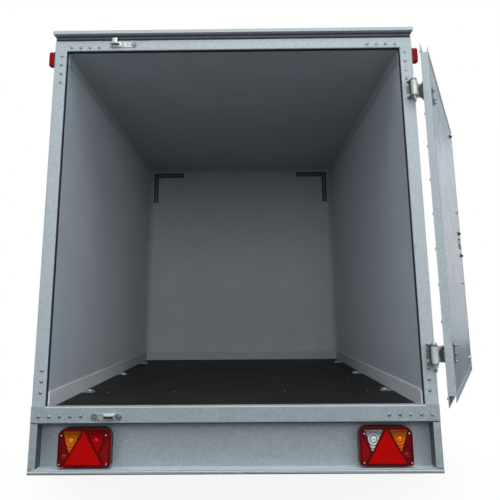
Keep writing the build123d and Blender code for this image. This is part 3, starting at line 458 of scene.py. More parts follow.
# ---------------------------------------------------------------- finishes
class Graph:
    """A node tree with short calls for adding and joining nodes."""

    def __init__(self, tree: bpy.types.NodeTree) -> None:
        """Keeps the tree that nodes are added to."""
        self.tree = tree

    def add(self, kind: str, inputs: dict | None = None, **settings: object) -> bpy.types.Node:
        """Adds a node.

        Args:
            kind: the node type's name without its ShaderNode start.
            inputs: socket name or number to a plain value or to another node's output.
            settings: the node's own options.

        Returns:
            The node.
        """
        made = self.tree.nodes.new(kind if kind.startswith("NodeGroup") else "ShaderNode" + kind)
        for key, value in settings.items():
            setattr(made, key, value)
        for key, value in (inputs or {}).items():
            if isinstance(value, Socket):
                self.tree.links.new(value, made.inputs[key])
            else:
                made.inputs[key].default_value = value
        return made

    def place(self) -> Socket:
        """Object coordinates, in metres."""
        return self.add("TexCoord").outputs["Object"]

    def parts(self, vector: Socket) -> tuple[Socket, Socket, Socket]:
        """The x, y and z of a vector."""
        return tuple(self.add("SeparateXYZ", {0: vector}).outputs)

    def math(self, operation: str, *values: Socket | float) -> Socket:
        """A function of up to three numbers."""
        return self.add("Math", dict(enumerate(values)), operation=operation).outputs[0]

    def vector(self, operation: str, *values: Socket | Triple) -> Socket:
        """A function of vectors; a distance comes out as a number."""
        made = self.add("VectorMath", dict(enumerate(values)), operation=operation)
        return made.outputs["Value" if operation == "DISTANCE" else 0]

    def noise(self, where: Socket, scale: Socket | float, out: int = 0, **more: float) -> Socket:
        """A noise texture: its value, or its colour as output 1."""
        return self.add("TexNoise", {"Vector": where, "Scale": scale, **more}).outputs[out]

    def scaled(self, where: Socket, scale: Triple) -> Socket:
        """Coordinates times a scale on each axis."""
        return self.add("Mapping", {"Vector": where, "Scale": scale}).outputs[0]

    def ramp(self, factor: Socket, low: float, high: float, to: Pair = (0, 1)) -> Socket:
        """A smooth step of a value from low to high onto another range."""
        inputs = {"Value": factor, "From Min": low, "From Max": high, "To Min": to[0], "To Max": to[1]}
        return self.add("MapRange", inputs, interpolation_type="SMOOTHSTEP").outputs[0]

    def mix(self, factor: Socket, first: Socket | Triple, second: Socket | Triple) -> Socket:
        """A blend of two colours."""
        colours = {key: c if isinstance(c, Socket) else (*c, 1) for key, c in ((6, first), (7, second))}
        return self.add("Mix", {0: factor, **colours}, data_type="RGBA").outputs[2]

    def seen(self) -> Socket:
        """One for rays that come from the camera, straight or through clear parts."""
        path = self.add("LightPath").outputs
        return self.math("MAXIMUM", path["Is Camera Ray"], path["Is Transmission Ray"])


class Effect(Enum):
    """The surface effects that several finishes share, each a node group with outputs Tone and Height."""

    SPANGLE = "zinc_spangle"
    CLOUDS = "soft_clouds"
    GRAIN = "fine_grain"
    DUST = "settled_dust"
    BRUSHED = "rolled_lines"


def spangle_tone(g: Graph, where: Socket, scale: Socket) -> Socket:
    """Zinc crystals: the shades of cells whose edges are bent, with finer cells over them.

    Args:
        g: the nodes to add to.
        where: Object coordinates.
        scale: cells in a metre.

    Returns:
        The shade, from -0.2 to 1.2.
    """
    bent = g.vector("MULTIPLY", g.noise(where, 22.0, 1, Detail=2.0), (0.012, 0.012, 0.012))
    spot = g.vector("ADD", where, bent)
    cells = g.add("TexVoronoi", {"Vector": spot, "Scale": scale, "Randomness": 1.0}).outputs["Color"]
    small = g.add("TexVoronoi", {"Vector": spot, "Scale": 260.0}).outputs["Color"]
    shade = g.add("SeparateColor", {0: cells}).outputs[0]
    fine = g.add("SeparateColor", {0: small}).outputs[1]
    return g.math("ADD", shade, g.ramp(fine, 0, 1, (-0.2, 0.2)))


def effect_tone(g: Graph, effect: Effect, where: Socket, scale: Socket) -> Socket:
    """The pattern of a shared effect.

    Args:
        g: the nodes to add to.
        effect: which effect.
        where: Object coordinates.
        scale: the group's Scale.

    Returns:
        The pattern's value.
    """
    if effect is Effect.SPANGLE:
        return spangle_tone(g, where, scale)
    if effect is Effect.CLOUDS:
        return g.ramp(g.noise(where, scale, Detail=5.0, Roughness=0.55), 0.3, 0.7)
    if effect is Effect.GRAIN:
        return g.noise(where, scale, Detail=8.0, Roughness=0.7)
    if effect is Effect.BRUSHED:
        return g.ramp(g.noise(g.scaled(where, (1.0, 1.0, 0.04)), scale, Detail=4.0), 0.3, 0.7)
    patches = g.noise(where, scale, Detail=6.0, Roughness=0.65)
    specks = g.noise(where, 420.0, Detail=2.0)
    return g.math("MULTIPLY", g.ramp(patches, 0.45, 0.8), g.ramp(specks, 0.35, 0.7))


def effect_group(effect: Effect) -> bpy.types.NodeTree:
    """Builds a shared effect once, or returns the one already built.

    Args:
        effect: which effect.

    Returns:
        A group with inputs Scale and Amount, and outputs Tone, from 0 to 1, and Height.
    """
    known = bpy.data.node_groups.get(effect.value)
    if known:
        return known
    tree = bpy.data.node_groups.new(effect.value, "ShaderNodeTree")
    for way, names in (("INPUT", ("Scale", "Amount")), ("OUTPUT", ("Tone", "Height"))):
        for name in names:
            tree.interface.new_socket(name, in_out=way, socket_type="NodeSocketFloat")
    g = Graph(tree)
    source = g.add("NodeGroupInput").outputs
    height = effect_tone(g, effect, g.place(), source["Scale"])
    tone = g.add("Math", {0: height, 1: source["Amount"]}, operation="MULTIPLY", use_clamp=True).outputs[0]
    g.add("NodeGroupOutput", {"Tone": tone, "Height": height})
    return tree


@dataclass(frozen=True)
class Finish:
    """A surface finish: two tones of one colour, a sheen that varies with them, and a fine relief."""

    name: str
    colour: Triple  # main colour, linear
    second: Triple  # colour where the effect is strongest
    effect: Effect  # what mixes the two
    scale: float  # the effect's scale
    rough: Pair  # roughness at the effect's low and high ends
    metal: float = 0.0
    relief: float = 0.0  # depth in metres
    coat: float = 0.0
    dust: float = 0.0  # how much dust lies on it
    ior: float = 1.5

    def shared(self, g: Graph, effect: Effect, scale: float, amount: float = 1.0) -> bpy.types.Node:
        """Places a shared effect in a material."""
        return g.add("Group", {"Scale": scale, "Amount": amount}, node_tree=effect_group(effect))

    def pattern(self, g: Graph) -> tuple[Socket, Socket]:
        """The tone that mixes the two colours, and the relief's height."""
        node = self.shared(g, self.effect, self.scale)
        return node.outputs["Tone"], node.outputs["Height"]

    def material(self) -> bpy.types.Material:
        """Builds the material once, or returns the one already built.

        Returns:
            The material.
        """
        known = bpy.data.materials.get(self.name)
        if known:
            return known
        made = bpy.data.materials.new(self.name)
        made.use_nodes = True
        made.node_tree.nodes.clear()
        g = Graph(made.node_tree)
        tone, height = self.pattern(g)
        colour = g.mix(tone, self.colour, self.second)
        rough = g.ramp(tone, 0, 1, self.rough)
        if self.dust:
            dust = self.shared(g, Effect.DUST, 3.0, self.dust).outputs["Tone"]
            colour = g.mix(dust, colour, (0.42, 0.39, 0.35))
            rough = g.math("MAXIMUM", rough, dust)
        inputs = {"Base Color": colour, "Roughness": rough, "Metallic": self.metal, "IOR": self.ior}
        inputs |= {"Coat Weight": self.coat, "Coat Roughness": 0.08, **self.extra()}
        if self.relief:
            bump = g.add("Bump", {"Height": height, "Distance": self.relief, "Strength": 1.0})
            inputs["Normal"] = bump.outputs[0]
        g.add("OutputMaterial", {0: g.add("BsdfPrincipled", inputs).outputs[0]})
        return made

    def extra(self) -> dict:
        """Further inputs of a special finish's shader; none here."""
        return {}


@dataclass(frozen=True)
class MeshedFloor(Finish):
    """Film-faced plywood with a pressed wire-mesh pattern of small diamonds."""

    def pattern(self, g: Graph) -> tuple[Socket, Socket]:
        """Height is the greater of two crossing sets of thin ridges, each a sine folded by its wavelength.

        Args:
            g: the nodes to add to.

        Returns:
            Tone and height.
        """
        ridges = []
        for slant in (1, -1):
            turned = g.add("Mapping", {"Vector": g.place(), "Rotation": (0, 0, slant * math.pi / 4)})
            inputs = {"Vector": turned.outputs[0], "Scale": self.scale}
            wave = g.add("TexWave", inputs, wave_profile="SIN").outputs[1]
            ridges.append(g.ramp(wave, 0.75, 1.0))
        height = g.math("MAXIMUM", *ridges)
        scuffs = self.shared(g, Effect.CLOUDS, 5.0).outputs["Tone"]
        return g.math("MULTIPLY", scuffs, g.ramp(height, 0, 1, (0.5, 1))), height


@dataclass(frozen=True)
class WavySheet(Finish):
    """Bright sheet bent a little by its core: broad ripples with painted light and shade, and above a height a
    net of creases darkened with painted shade.
    """

    creased_from: Pair = (0.54, 0.60)  # heights between which the creases come in
    calm: float = 0.62  # tone of the sheet below them

    def pattern(self, g: Graph) -> tuple[Socket, Socket]:
        """Height adds a stretched broad noise to a small crumple, and dips along the creases.

        Tone follows the broad noise as painted light and shade of the ripples, falls along the creases as
        painted shade, and is less below the creased part.

        Args:
            g: the nodes to add to.

        Returns:
            Tone and height.
        """
        broad = g.noise(g.scaled(g.place(), (0.8, 0.8, 2.2)), 2.2, Detail=3.0, Distortion=1.2)
        cells = {"Vector": g.place(), "Scale": self.scale}
        crumple = g.add("TexVoronoi", cells, feature="SMOOTH_F1").outputs[0]
        height = g.math("ADD", broad, g.ramp(crumple, 0, 1, (0, 0.16)))
        bent = g.noise(g.place(), 5.0, 1, Detail=3.0)
        lines = g.scaled(g.vector("MULTIPLY_ADD", bent, (0.25, 0.25, 0.25), g.place()), (0.5, 0.5, 1.5))
        net = {"Vector": lines, "Scale": self.scale * 0.3}
        edge = g.add("TexVoronoi", net, feature="DISTANCE_TO_EDGE").outputs[0]
        upper = g.ramp(g.parts(g.place())[2], *self.creased_from)
        # painted shade along the creases
        crease_shade = g.math("MULTIPLY", g.ramp(edge, 0.0, 0.12, (0.3, 0)), upper)
        # tone rises with the ripples' height: painted light and shade of the ripples
        level = g.math("MULTIPLY", g.ramp(upper, 0, 1, (self.calm, 1)), g.ramp(height, 0.3, 0.7, (0.55, 1)))
        tone = g.math("MULTIPLY", g.math("SUBTRACT", 1.0, crease_shade), level)
        return tone, g.math("MULTIPLY_ADD", crease_shade, -0.35, height)


@dataclass(frozen=True)
class TrimStrip(Finish):
    """Trim that is pale by the opening as painted light falling in from outside, and takes the walls' and the
    ceiling's darker tone further in and above as painted shade.
    """

    turns_at: Pair = (1.50, 1.53)  # heights between which the ceiling's painted shade comes in
    fades: Pair = (-3.1, -1.7)  # y between which the painted light by the opening gives way to painted shade

    def pattern(self, g: Graph) -> tuple[Socket, Socket]:
        """Tone is the larger of two ramps of painted shade, one of the height and one of the way in.

        Args:
            g: the nodes to add to.

        Returns:
            Tone and height.
        """
        _, inwards, rise = g.parts(g.place())
        tone = g.math("MAXIMUM", g.ramp(rise, *self.turns_at), g.ramp(inwards, *self.fades))
        return tone, self.shared(g, self.effect, self.scale).outputs["Height"]


@dataclass(frozen=True)
class LampLens(Finish):
    """Coloured clear plastic with fine upright ribs whose colour ripples with them as painted shade; over a
    bulb it has rings painted light and dark, and painted shade darkens it to its top.
    """

    rings_at: Pair | None = None  # the rings' centre, beside the middle and in height; None if plain
    ring: float = 11 * MM  # width of one ring

    def pattern(self, g: Graph) -> tuple[Socket, Socket]:
        """Height is the absolute sine of X; tone is the distance modulo the ring width, painted light and shade
        of the rings, less near the top as painted shade.

        Args:
            g: the nodes to add to.

        Returns:
            Tone and height.
        """
        x, _, z = g.parts(g.place())
        # tone follows the ribs: painted shade of the ribs
        wave = g.math("ABSOLUTE", g.math("SINE", g.math("MULTIPLY", x, self.scale)))
        if self.rings_at is None:
            return wave, wave
        spot = g.add("CombineXYZ", {0: g.math("ABSOLUTE", x), 2: z}).outputs[0]
        away = g.vector("DISTANCE", spot, (self.rings_at[0], 0.0, self.rings_at[1]))
        # over a bulb: the tone in the rings' steps and towards the top is painted shade, the rest painted light
        ring = g.math("FRACT", g.math("DIVIDE", away, self.ring))
        lower = g.ramp(g.math("SUBTRACT", self.rings_at[1], z), -0.028, 0.006, (0.1, 1.0))
        return g.math("MULTIPLY", g.ramp(ring, 0.05, 0.95, (0.12, 1.0)), lower), ring

    def extra(self) -> dict:
        """A little painted light of its own colour, though the lamp is not lit."""
        return {"Emission Color": (*self.colour, 1), "Emission Strength": 0.06}


def finishes() -> dict[str, Finish]:
    """The finishes of all pieces.

    Returns:
        Each finish under its own name.
    """
    spangle, clouds, grain, brushed = Effect.SPANGLE, Effect.CLOUDS, Effect.GRAIN, Effect.BRUSHED
    inner, outer = (0.542, -0.052), (0.643, -0.052)  # middles of the lenses over the bulbs
    made = [
        Finish("galvanised", (0.415, 0.475, 0.495), (0.50, 0.56, 0.58), spangle, 115, (0.5, 0.66), 0.22,
            2e-5, dust=0.04),
        # a darker copy of galvanised: painted shade of the low rear sheet
        Finish("galvanised_low_painted_shade", (0.345, 0.395, 0.415), (0.42, 0.47, 0.49), spangle, 115, (0.42, 0.58), 0.4,
            2e-5, dust=0.04),
        Finish("galvanised_dull", (0.35, 0.40, 0.415), (0.46, 0.51, 0.53), spangle, 50, (0.45, 0.62), 0.4,
            2e-5, dust=0.25),
        Finish("shade_metal", (0.08, 0.09, 0.095), (0.13, 0.145, 0.15), brushed, 60, (0.5, 0.65), 0.2),
        Finish("cap_metal", (0.45, 0.51, 0.53), (0.52, 0.57, 0.59), brushed, 60, (0.55, 0.68), 0.2, 1e-5,
            dust=0.15),
        Finish("strip_band", (0.11, 0.12, 0.125), (0.15, 0.16, 0.165), brushed, 40, (0.4, 0.5), 0.3),
        Finish("zinc", (0.52, 0.55, 0.57), (0.66, 0.69, 0.71), clouds, 45, (0.25, 0.42), 0.85, 1e-5),
        Finish("zinc_worn", (0.30, 0.33, 0.33), (0.42, 0.45, 0.45), clouds, 60, (0.35, 0.5), 0.7, 1e-5,
            dust=0.2),
        Finish("rivet_head", (0.24, 0.27, 0.30), (0.40, 0.43, 0.46), clouds, 45, (0.18, 0.3), 0.9, 1e-5),
        Finish("hinge_light", (0.60, 0.655, 0.61), (0.68, 0.72, 0.68), clouds, 45, (0.3, 0.42), 0.35, 1e-5,
            dust=0.1),
        # darker hinge zinc: painted shade of the frame's brackets and of the washers between the ears
        Finish("hinge_painted_shade", (0.15, 0.185, 0.165), (0.24, 0.28, 0.26), clouds, 60, (0.35, 0.5), 0.5, 1e-5),
        # near white strips: painted highlights on the sill's top bend and on the lamp panel's shelf
        Finish("painted_highlight_bend", (0.84, 0.88, 0.90), (0.88, 0.91, 0.93), clouds, 60, (0.4, 0.5), 0.05),
        Finish("painted_highlight_shelf", (0.60, 0.68, 0.73), (0.68, 0.75, 0.80), clouds, 20, (0.4, 0.5), 0.05),
        Finish("laminate", (0.585, 0.625, 0.67), (0.635, 0.675, 0.72), clouds, 6, (0.4, 0.5), 0.0, 2e-5,
            dust=0.06),
        # the wall laminate darkened for the ceiling: painted shade
        Finish("ceiling_laminate_painted_shade", (0.45, 0.48, 0.50), (0.50, 0.53, 0.55), clouds, 6, (0.42, 0.52), 0.0,
            2e-5),
        # near black riser: partly its own dark colour, partly painted shadow under the cap and at the header's
        # joint
        Finish("riser_dark_and_painted_shadow", (0.010, 0.013, 0.015), (0.022, 0.026, 0.029), clouds, 20, (0.55, 0.7), 0.0,
            2e-5),
        Finish("wheel_paint", (0.50, 0.51, 0.52), (0.57, 0.58, 0.59), clouds, 30, (0.26, 0.36), 0.55,
            coat=0.5, dust=0.25),
        Finish("paint_black", (0.016, 0.016, 0.018), (0.028, 0.028, 0.03), clouds, 50, (0.25, 0.4), 0.0,
            coat=0.3),
        # near black strips: painted shadow under the sill and along the lamp panel's lower hem
        Finish("painted_shadow_strip", (0.03, 0.034, 0.037), (0.06, 0.066, 0.07), grain, 90, (0.6, 0.8)),
        Finish("rubber", (0.018, 0.024, 0.028), (0.035, 0.042, 0.046), grain, 300, (0.5, 0.72), 0.0, 5e-5),
        Finish("plastic_black", (0.016, 0.017, 0.019), (0.03, 0.031, 0.034), grain, 700, (0.42, 0.6), 0.0,
            6e-5, dust=0.1),
        Finish("tyre_rubber", (0.014, 0.014, 0.015), (0.03, 0.029, 0.028), grain, 180, (0.6, 0.8), 0.0,
            8e-5, dust=0.3),
        # bright domes under the lit lenses: painted highlights, no light of their own
        Finish("painted_highlight_amber", (0.95, 0.34, 0.03), (1.0, 0.42, 0.05), clouds, 90, (0.1, 0.2), ior=1.3),
        Finish("painted_highlight_red", (0.75, 0.012, 0.02), (0.85, 0.03, 0.04), clouds, 90, (0.1, 0.2), ior=1.3),
        Finish("painted_highlight_white", (0.86, 0.85, 0.86), (0.95, 0.94, 0.95), clouds, 90, (0.06, 0.12), 0.2, ior=1.4),
        # trim colour: near white by the opening as painted light, the walls' and the ceiling's grey further in
        # and above as painted shade
        TrimStrip("trim_painted_light_and_shade", (0.96, 0.98, 1.0), (0.52, 0.55, 0.57), clouds, 12, (0.36, 0.5), 0.1, 1e-5),
        MeshedFloor("floor_film", (0.011, 0.0095, 0.009), (0.022, 0.019, 0.018), clouds, 62, (0.6, 0.75),
            0.0, 2.5e-4, dust=0.04, ior=1.35),
        WavySheet("door_sheet", (0.30, 0.37, 0.46), (0.95, 0.98, 1.0), clouds, 46, (0.24, 0.36), 0.9, 3.5e-3),
        LampLens("lens_red", (0.44, 0.0006, 0.0006), (0.48, 0.0012, 0.001), clouds, 900, (0.16, 0.24),
            ior=1.2),
        # lenses over bulbs: their dark colour is painted shade at the top and in the rings' steps, their bright
        # one painted light
        LampLens("lens_fog", (0.12, 0.0006, 0.001), (0.62, 0.002, 0.004), clouds, 420, (0.12, 0.2),
            ior=1.16, rings_at=inner),
        LampLens("lens_amber", (0.15, 0.03, 0.002), (1.0, 0.21, 0.004), clouds, 420, (0.1, 0.18), ior=1.18,
            rings_at=outer),
        LampLens("lens_clear", (0.10, 0.095, 0.10), (0.90, 0.88, 0.90), clouds, 420, (0.08, 0.14), 0.1,
            ior=1.35, rings_at=inner),
        LampLens("lens_side_red", (0.20, 0.001, 0.002), (0.27, 0.003, 0.004), clouds, 420, (0.12, 0.2),
            ior=1.28),
        LampLens("lens_marker", (0.26, 0.0006, 0.001), (0.34, 0.001, 0.001), clouds, 700, (0.14, 0.22),
            ior=1.25),
        LampLens("lens_deep_red", (0.10, 0.0008, 0.002), (0.14, 0.001, 0.003), clouds, 500, (0.15, 0.25),
            ior=1.28),
        LampLens("reflector_amber", (0.78, 0.17, 0.004), (0.95, 0.26, 0.008), clouds, 900, (0.12, 0.2),
            ior=1.3),
        LampLens("lens_white", (0.50, 0.50, 0.51), (0.72, 0.72, 0.73), clouds, 420, (0.08, 0.14), 0.1,
            ior=1.35),
    ]
    return {finish.name: finish for finish in made}


FINISHES = finishes()


def look(name: str) -> bpy.types.Material:
    """The material of a named finish."""
    return FINISHES[name].material()


DRESS = {
    # the sill and the lamp panel take the darker galvanised, painted shade
    "galvanised_low_painted_shade": ("lamp_panel", "rear_sill"),
    "galvanised": ("edge_rails", "rear_frame", "jockey_tube", "jockey_fork", "door_frame", "door_skin"),
    "galvanised_dull": ("chassis_rails", "crossmembers", "drawbar_arms", "axle_beam", "swing_arms"),
    "zinc": (
        "overrun_housing", "ball_coupling", "handbrake_lever", "jockey_clamp", "lashing_eyes", "door_keepers",
        "lock_gear",
    ),
    "cap_metal": ("roof_cap",),
    # the frame's hinge brackets take the darker hinge zinc, painted shade
    "hinge_painted_shade": ("frame_hinges",),
    "shade_metal": ("ceiling_brackets",),
    "hinge_light": ("door_hinges",),
    "laminate": ("left_wall", "right_wall", "front_wall"),
    # the ceiling takes the darker laminate, painted shade
    "ceiling_laminate_painted_shade": ("roof_panel",),
    # the riser's near black is partly painted shadow
    "riser_dark_and_painted_shadow": ("roof_riser",),
    # the trims carry painted light by the opening and painted shade further in
    "trim_painted_light_and_shade": ("interior_trims",),
    "rubber": ("opening_seal", "overrun_gaiter", "jockey_wheel"),
    "plastic_black": ("mudguards", "tail_lamp_housings"),
    "wheel_paint": ("left_wheel", "right_wheel"),
    "tyre_rubber": ("left_tyre", "right_tyre"),
    "paint_black": ("coupling_handle",),
    "floor_film": ("floor_panel",),
    "door_sheet": ("door_panel",),
    "lens_deep_red": ("tail_lamp_lenses", "marker_lamps"),
    "lens_clear": ("front_lamps",),
}


# ---------------------------------------------------------------- how pieces join the trailer
class Body(Enum):
    """The bodies that pieces move with."""

    TRAILER = "trailer"
    LEFT_WHEEL = "left_road_wheel"
    RIGHT_WHEEL = "right_road_wheel"
    LEG = "jockey_leg"
    ROLLER = "jockey_roller"
    DOOR = "rear_door"


class Slot(Enum):
    """Material slots of the record."""

    ZINC = "zinc_plated"
    STEEL = "galvanised_steel"
    PLASTIC = "black_plastic"
    RUBBER = "black_rubber"
    PAINT = "black_paint"
    RED = "lamp_red"
    WHITE = "lamp_white"
    STRIP = "dark_strip"
    TYRE = "tyre"


# the second finish, black rubber, colours the bars as painted shade of the cross recess
SCREW = ("zinc", "rubber")  # finishes of a cross-head screw
USUAL = {Slot.ZINC: "zinc", Slot.PLASTIC: "plastic_black", Slot.RUBBER: "rubber", Slot.PAINT: "paint_black"}


def fit(
    name: str,
    shape: Shape,
    slot: Slot = Slot.ZINC,
    *finish: str,
    body: Body = Body.TRAILER,
    stands_for: Sequence[str] = (),
    smooth: float | None = 40,
) -> None:
    """Builds a piece, ties it to its body and hides the nodes that it stands for.

    Args:
        name: the piece's name.
        shape: its surface.
        slot: the record's material slot; it only picks the usual finish.
        finish: its finishes, in slot order of the shape; the slot's usual one if none is given.
        body: what it moves with.
        stands_for: nodes that it replaces.
        smooth: edges under this angle are shaded round.
    """
    piece = shape.build(name, *(look(each) for each in finish or (USUAL[slot],)), smooth=smooth)
    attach(piece, body.value)
    if stands_for:
        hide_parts(*stands_for)
    LOG.info("%s: %d faces, moves with %s", name, len(piece.data.polygons), body.value)


# ---------------------------------------------------------------- rear frame and body shell
@dataclass
class FrameRivets:
    """Dome rivets at the corners of the rear frame and along the folded edges of the body."""

    pitch: float = 41.8 * MM  # between rivets of the corner groups
    inset: float = 33 * MM  # post rivets from the frame's side, header rivets from its top
    upper: float = 73 * MM  # first post rivet below the frame's top
    lower: float = 52 * MM  # first post rivet above the sill's top
    sill: tuple = mm(24, 2)  # sill rivets above its foot, and outside the post rivets
    edge_pitch: float = 165 * MM  # about how far apart the rivets along the body's edges are
    edge_inset: Triple = mm(25, 22, 28)  # rows under the roof edge, under the rail's top, behind the corner
    edge_ends: tuple = mm(60, 90)  # first and last rivet of a row from its ends
    front: float = 0.7  # half the length of the row over the front wall

    def run(self, start: float, end: float) -> Array:
        """Places from start to end, evenly spaced at about the edge pitch."""
        return np.linspace(start, end, max(2, round(abs(end - start) / self.edge_pitch) + 1))

    def rear(self) -> Array:
        """Places on the posts, the header and the sill.

        Returns:
            One (x, y, z) row for each rivet.
        """
        frame_low, frame_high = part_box("rear_frame")
        sill_low, sill_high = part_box("rear_sill")
        rise, out = self.sill
        x, steps = frame_high[0] - self.inset, np.arange(5) * self.pitch
        heights = np.r_[frame_high[2] - self.upper - steps[:4], sill_high[2] + self.lower + steps[:3]]
        across, foot = x - self.pitch - steps[:4], x + out - steps
        posts = grid_of((-x, x), [frame_low[1]], heights)
        header = grid_of(np.r_[-across, across], [frame_low[1]], [frame_high[2] - self.inset])
        sill = grid_of(np.r_[-foot, foot], [sill_low[1]], [sill_low[2] + rise])
        return np.concatenate([posts, header, sill])

    def build(self) -> None:
        """Rear groups face backwards; those along the edges face out to the sides and forwards."""
        fit("frame_rivets", dome_rivet().turned_by(UPRIGHT).repeated(self.rear()), Slot.ZINC, "rivet_head")
        low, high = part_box("edge_rails")
        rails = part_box("chassis_rails")[1]
        roof, rail, corner = self.edge_inset
        start, end = self.edge_ends
        heights = self.run(rails[2] + start, high[2] - end)
        along = grid_of([high[0]], self.run(low[1] + start, high[1] - end), [high[2] - roof, rails[2] - rail])
        outside = np.concatenate([along, grid_of([high[0]], [high[1] - corner], heights)])
        sides = dome_rivet().turned_by(SIDEWAYS).repeated(outside).both_sides()
        corners = grid_of([corner - high[0], high[0] - corner], [high[1]], heights)
        top = grid_of(self.run(-self.front, self.front), [high[1]], [high[2] - roof])
        ahead = dome_rivet().turned_by(facing(0, 1, 0)).repeated(np.concatenate([corners, top]))
        fit("edge_rivets", join([sides, ahead]), Slot.ZINC, "rivet_head")


@dataclass
class RoofBand:
    """The grey band on the dark riser under the roof's cap, the riser's near black above and below it partly
    painted shadow, and the screws of the cap.
    """

    drop: float = 5 * MM  # band's top under the riser's top
    height: float = 11 * MM
    stand: float = 1.5 * MM  # how far it stands off the riser
    screws: int = 11  # on each side of the cap
    screw_inset: tuple = (0.1, 7.5 * MM)  # from the cap's ends and from its top

    def build(self) -> None:
        """A thin rounded strip across the rear, and pan screws along the cap's sides."""
        low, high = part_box("roof_riser")
        outline = rounded(high[0] - low[0] - 4 * MM, self.height, 2 * MM, 4)
        strip = stack(outline, [(0, -self.stand), (0, self.stand * 0.6), (0.6 * MM, self.stand)])
        spot = ((low[0] + high[0]) / 2, low[1], high[2] - self.drop - self.height / 2)
        fit("roof_band", strip.turned_by(UPRIGHT).moved(*spot), Slot.STRIP, "strip_band")
        low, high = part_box("roof_cap")
        end, top = self.screw_inset
        places = grid_of([high[0]], np.linspace(low[1] + end, high[1] - end, self.screws), [high[2] - top])
        fit("cap_screws", pan_screw(3.2).turned_by(SIDEWAYS).repeated(places).both_sides(), Slot.ZINC, *SCREW)


@dataclass
class EdgeStrips:
    """Strips along the sill and the lamp panel: painted highlights on the bends and the shelf, painted shadow
    strips under them, and painted shade on the panel's end stiles.
    """

    bend: float = 5 * MM  # radius of the bends
    shadow_strip_height: float = 6 * MM  # height of the painted shadow strips
    proud: float = 0.4 * MM  # how far they stand off the sheet
    shelf: float = 15 * MM  # the shelf's height above the lamp panel's foot
    stile: float = 29 * MM  # width of the panel's upright ends

    def quarter(self, half: float, y: float, z: float) -> Shape:
        """A quarter-round bar along X whose corner is at y and z: its arc turns from backwards to upwards.

        Args:
            half: half the bar's length.
            y: the corner's depth.
            z: the corner's height.

        Returns:
            The bar.
        """
        a, r = np.linspace(0, math.pi / 2, 7), self.bend
        arc = np.c_[r - (r + self.proud) * np.cos(a), (r + self.proud) * np.sin(a) - r]
        return prism(np.r_[arc, [(r, -r)]], -half, half).turned_by(SIDEWAYS).moved(y=y, z=z)

    def build(self) -> None:
        """Painted highlights on the bends and the shelf first, then the painted shadow strips and the painted
        shade on the sides of the panel's ends.
        """
        (_, sill_back, low), (_, _, sill_top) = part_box("rear_sill")
        (_, back, foot), (side, _, _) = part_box("lamp_panel")
        opening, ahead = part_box("floor_panel")[1][0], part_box("tail_lamp_housings")[1][1]
        shelf, inner, side = foot + self.shelf, side - self.stile, side - 1 * MM
        # the bright strips on the bends and the shelf are painted highlights
        bright = [self.quarter(opening - 1 * MM, sill_back, sill_top), self.quarter(side, back, shelf)]
        shelf_highlight = slab((-inner, back + 4 * MM, shelf - 0.5 * MM), (inner, ahead, shelf + self.proud))
        parts = join([join(bright).paint(0), shelf_highlight.paint(1)])
        fit("painted_highlight_bends", parts, Slot.STEEL, "painted_highlight_bend", "painted_highlight_shelf")
        # painted shadow: a dark strip under the sill, and one along the panel's lower hem
        under = slab((-inner, back + 4 * MM, low - self.shadow_strip_height), (inner, back + 12 * MM, low))
        hem_shadow = slab((-side, back - self.proud, foot), (side, back + 1.6 * MM, foot + self.shadow_strip_height / 2))
        fit("panel_painted_shadows", join([under, hem_shadow]), Slot.RUBBER, "painted_shadow_strip")
        # painted shade: dark sheets over the inner sides of the panel's end stiles
        corner = (inner + 0.4 * MM, ahead, low - 4 * MM)
        shade = slab((inner - 0.6 * MM, back + 5 * MM, shelf + 4 * MM), corner)
        fit("stile_side_painted_shade", shade.both_sides(), Slot.STEEL, "shade_metal")


@dataclass
class MarkerLamps:
    """Red lamps on the outer sides of the rear posts, each on a black foot."""

    radius: float = 8 * MM  # corners of the lens
    foot: float = 5 * MM  # thickness of the foot
    rib: Pair = mm(0.5, 5)  # depth and width of the upright ribs inside the lens face

    def build(self) -> None:
        """A domed lens: its rings draw in as the quarter of an ellipse towards the face."""
        low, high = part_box("marker_lamps")
        inner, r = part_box("rear_frame")[1][0], self.radius
        depth, height, stand = high[1] - low[1], high[2] - low[2], high[0] - inner
        centre = (inner, (low[1] + high[1]) / 2, (low[2] + high[2]) / 2)
        crown = [(r * (1 - math.cos(a)), stand - r * (1 - math.sin(a))) for a in (0, 0.4, 0.8, 1.1)]
        outline = rounded(depth - 2 * MM, height - 2 * MM, r, 6)
        lens = stack(outline, [(0, self.foot), *crown], 6, ribs(*self.rib))
        base = prism(rounded(depth, height, r, 6), 0, self.foot, 1 * MM)
        lens, base = (part.turned_by(SIDEWAYS).moved(*centre).both_sides() for part in (lens, base))
        fit("marker_lenses", lens, Slot.RED, "lens_marker", stands_for=["marker_lamps"])
        fit("marker_feet", base, Slot.PLASTIC)


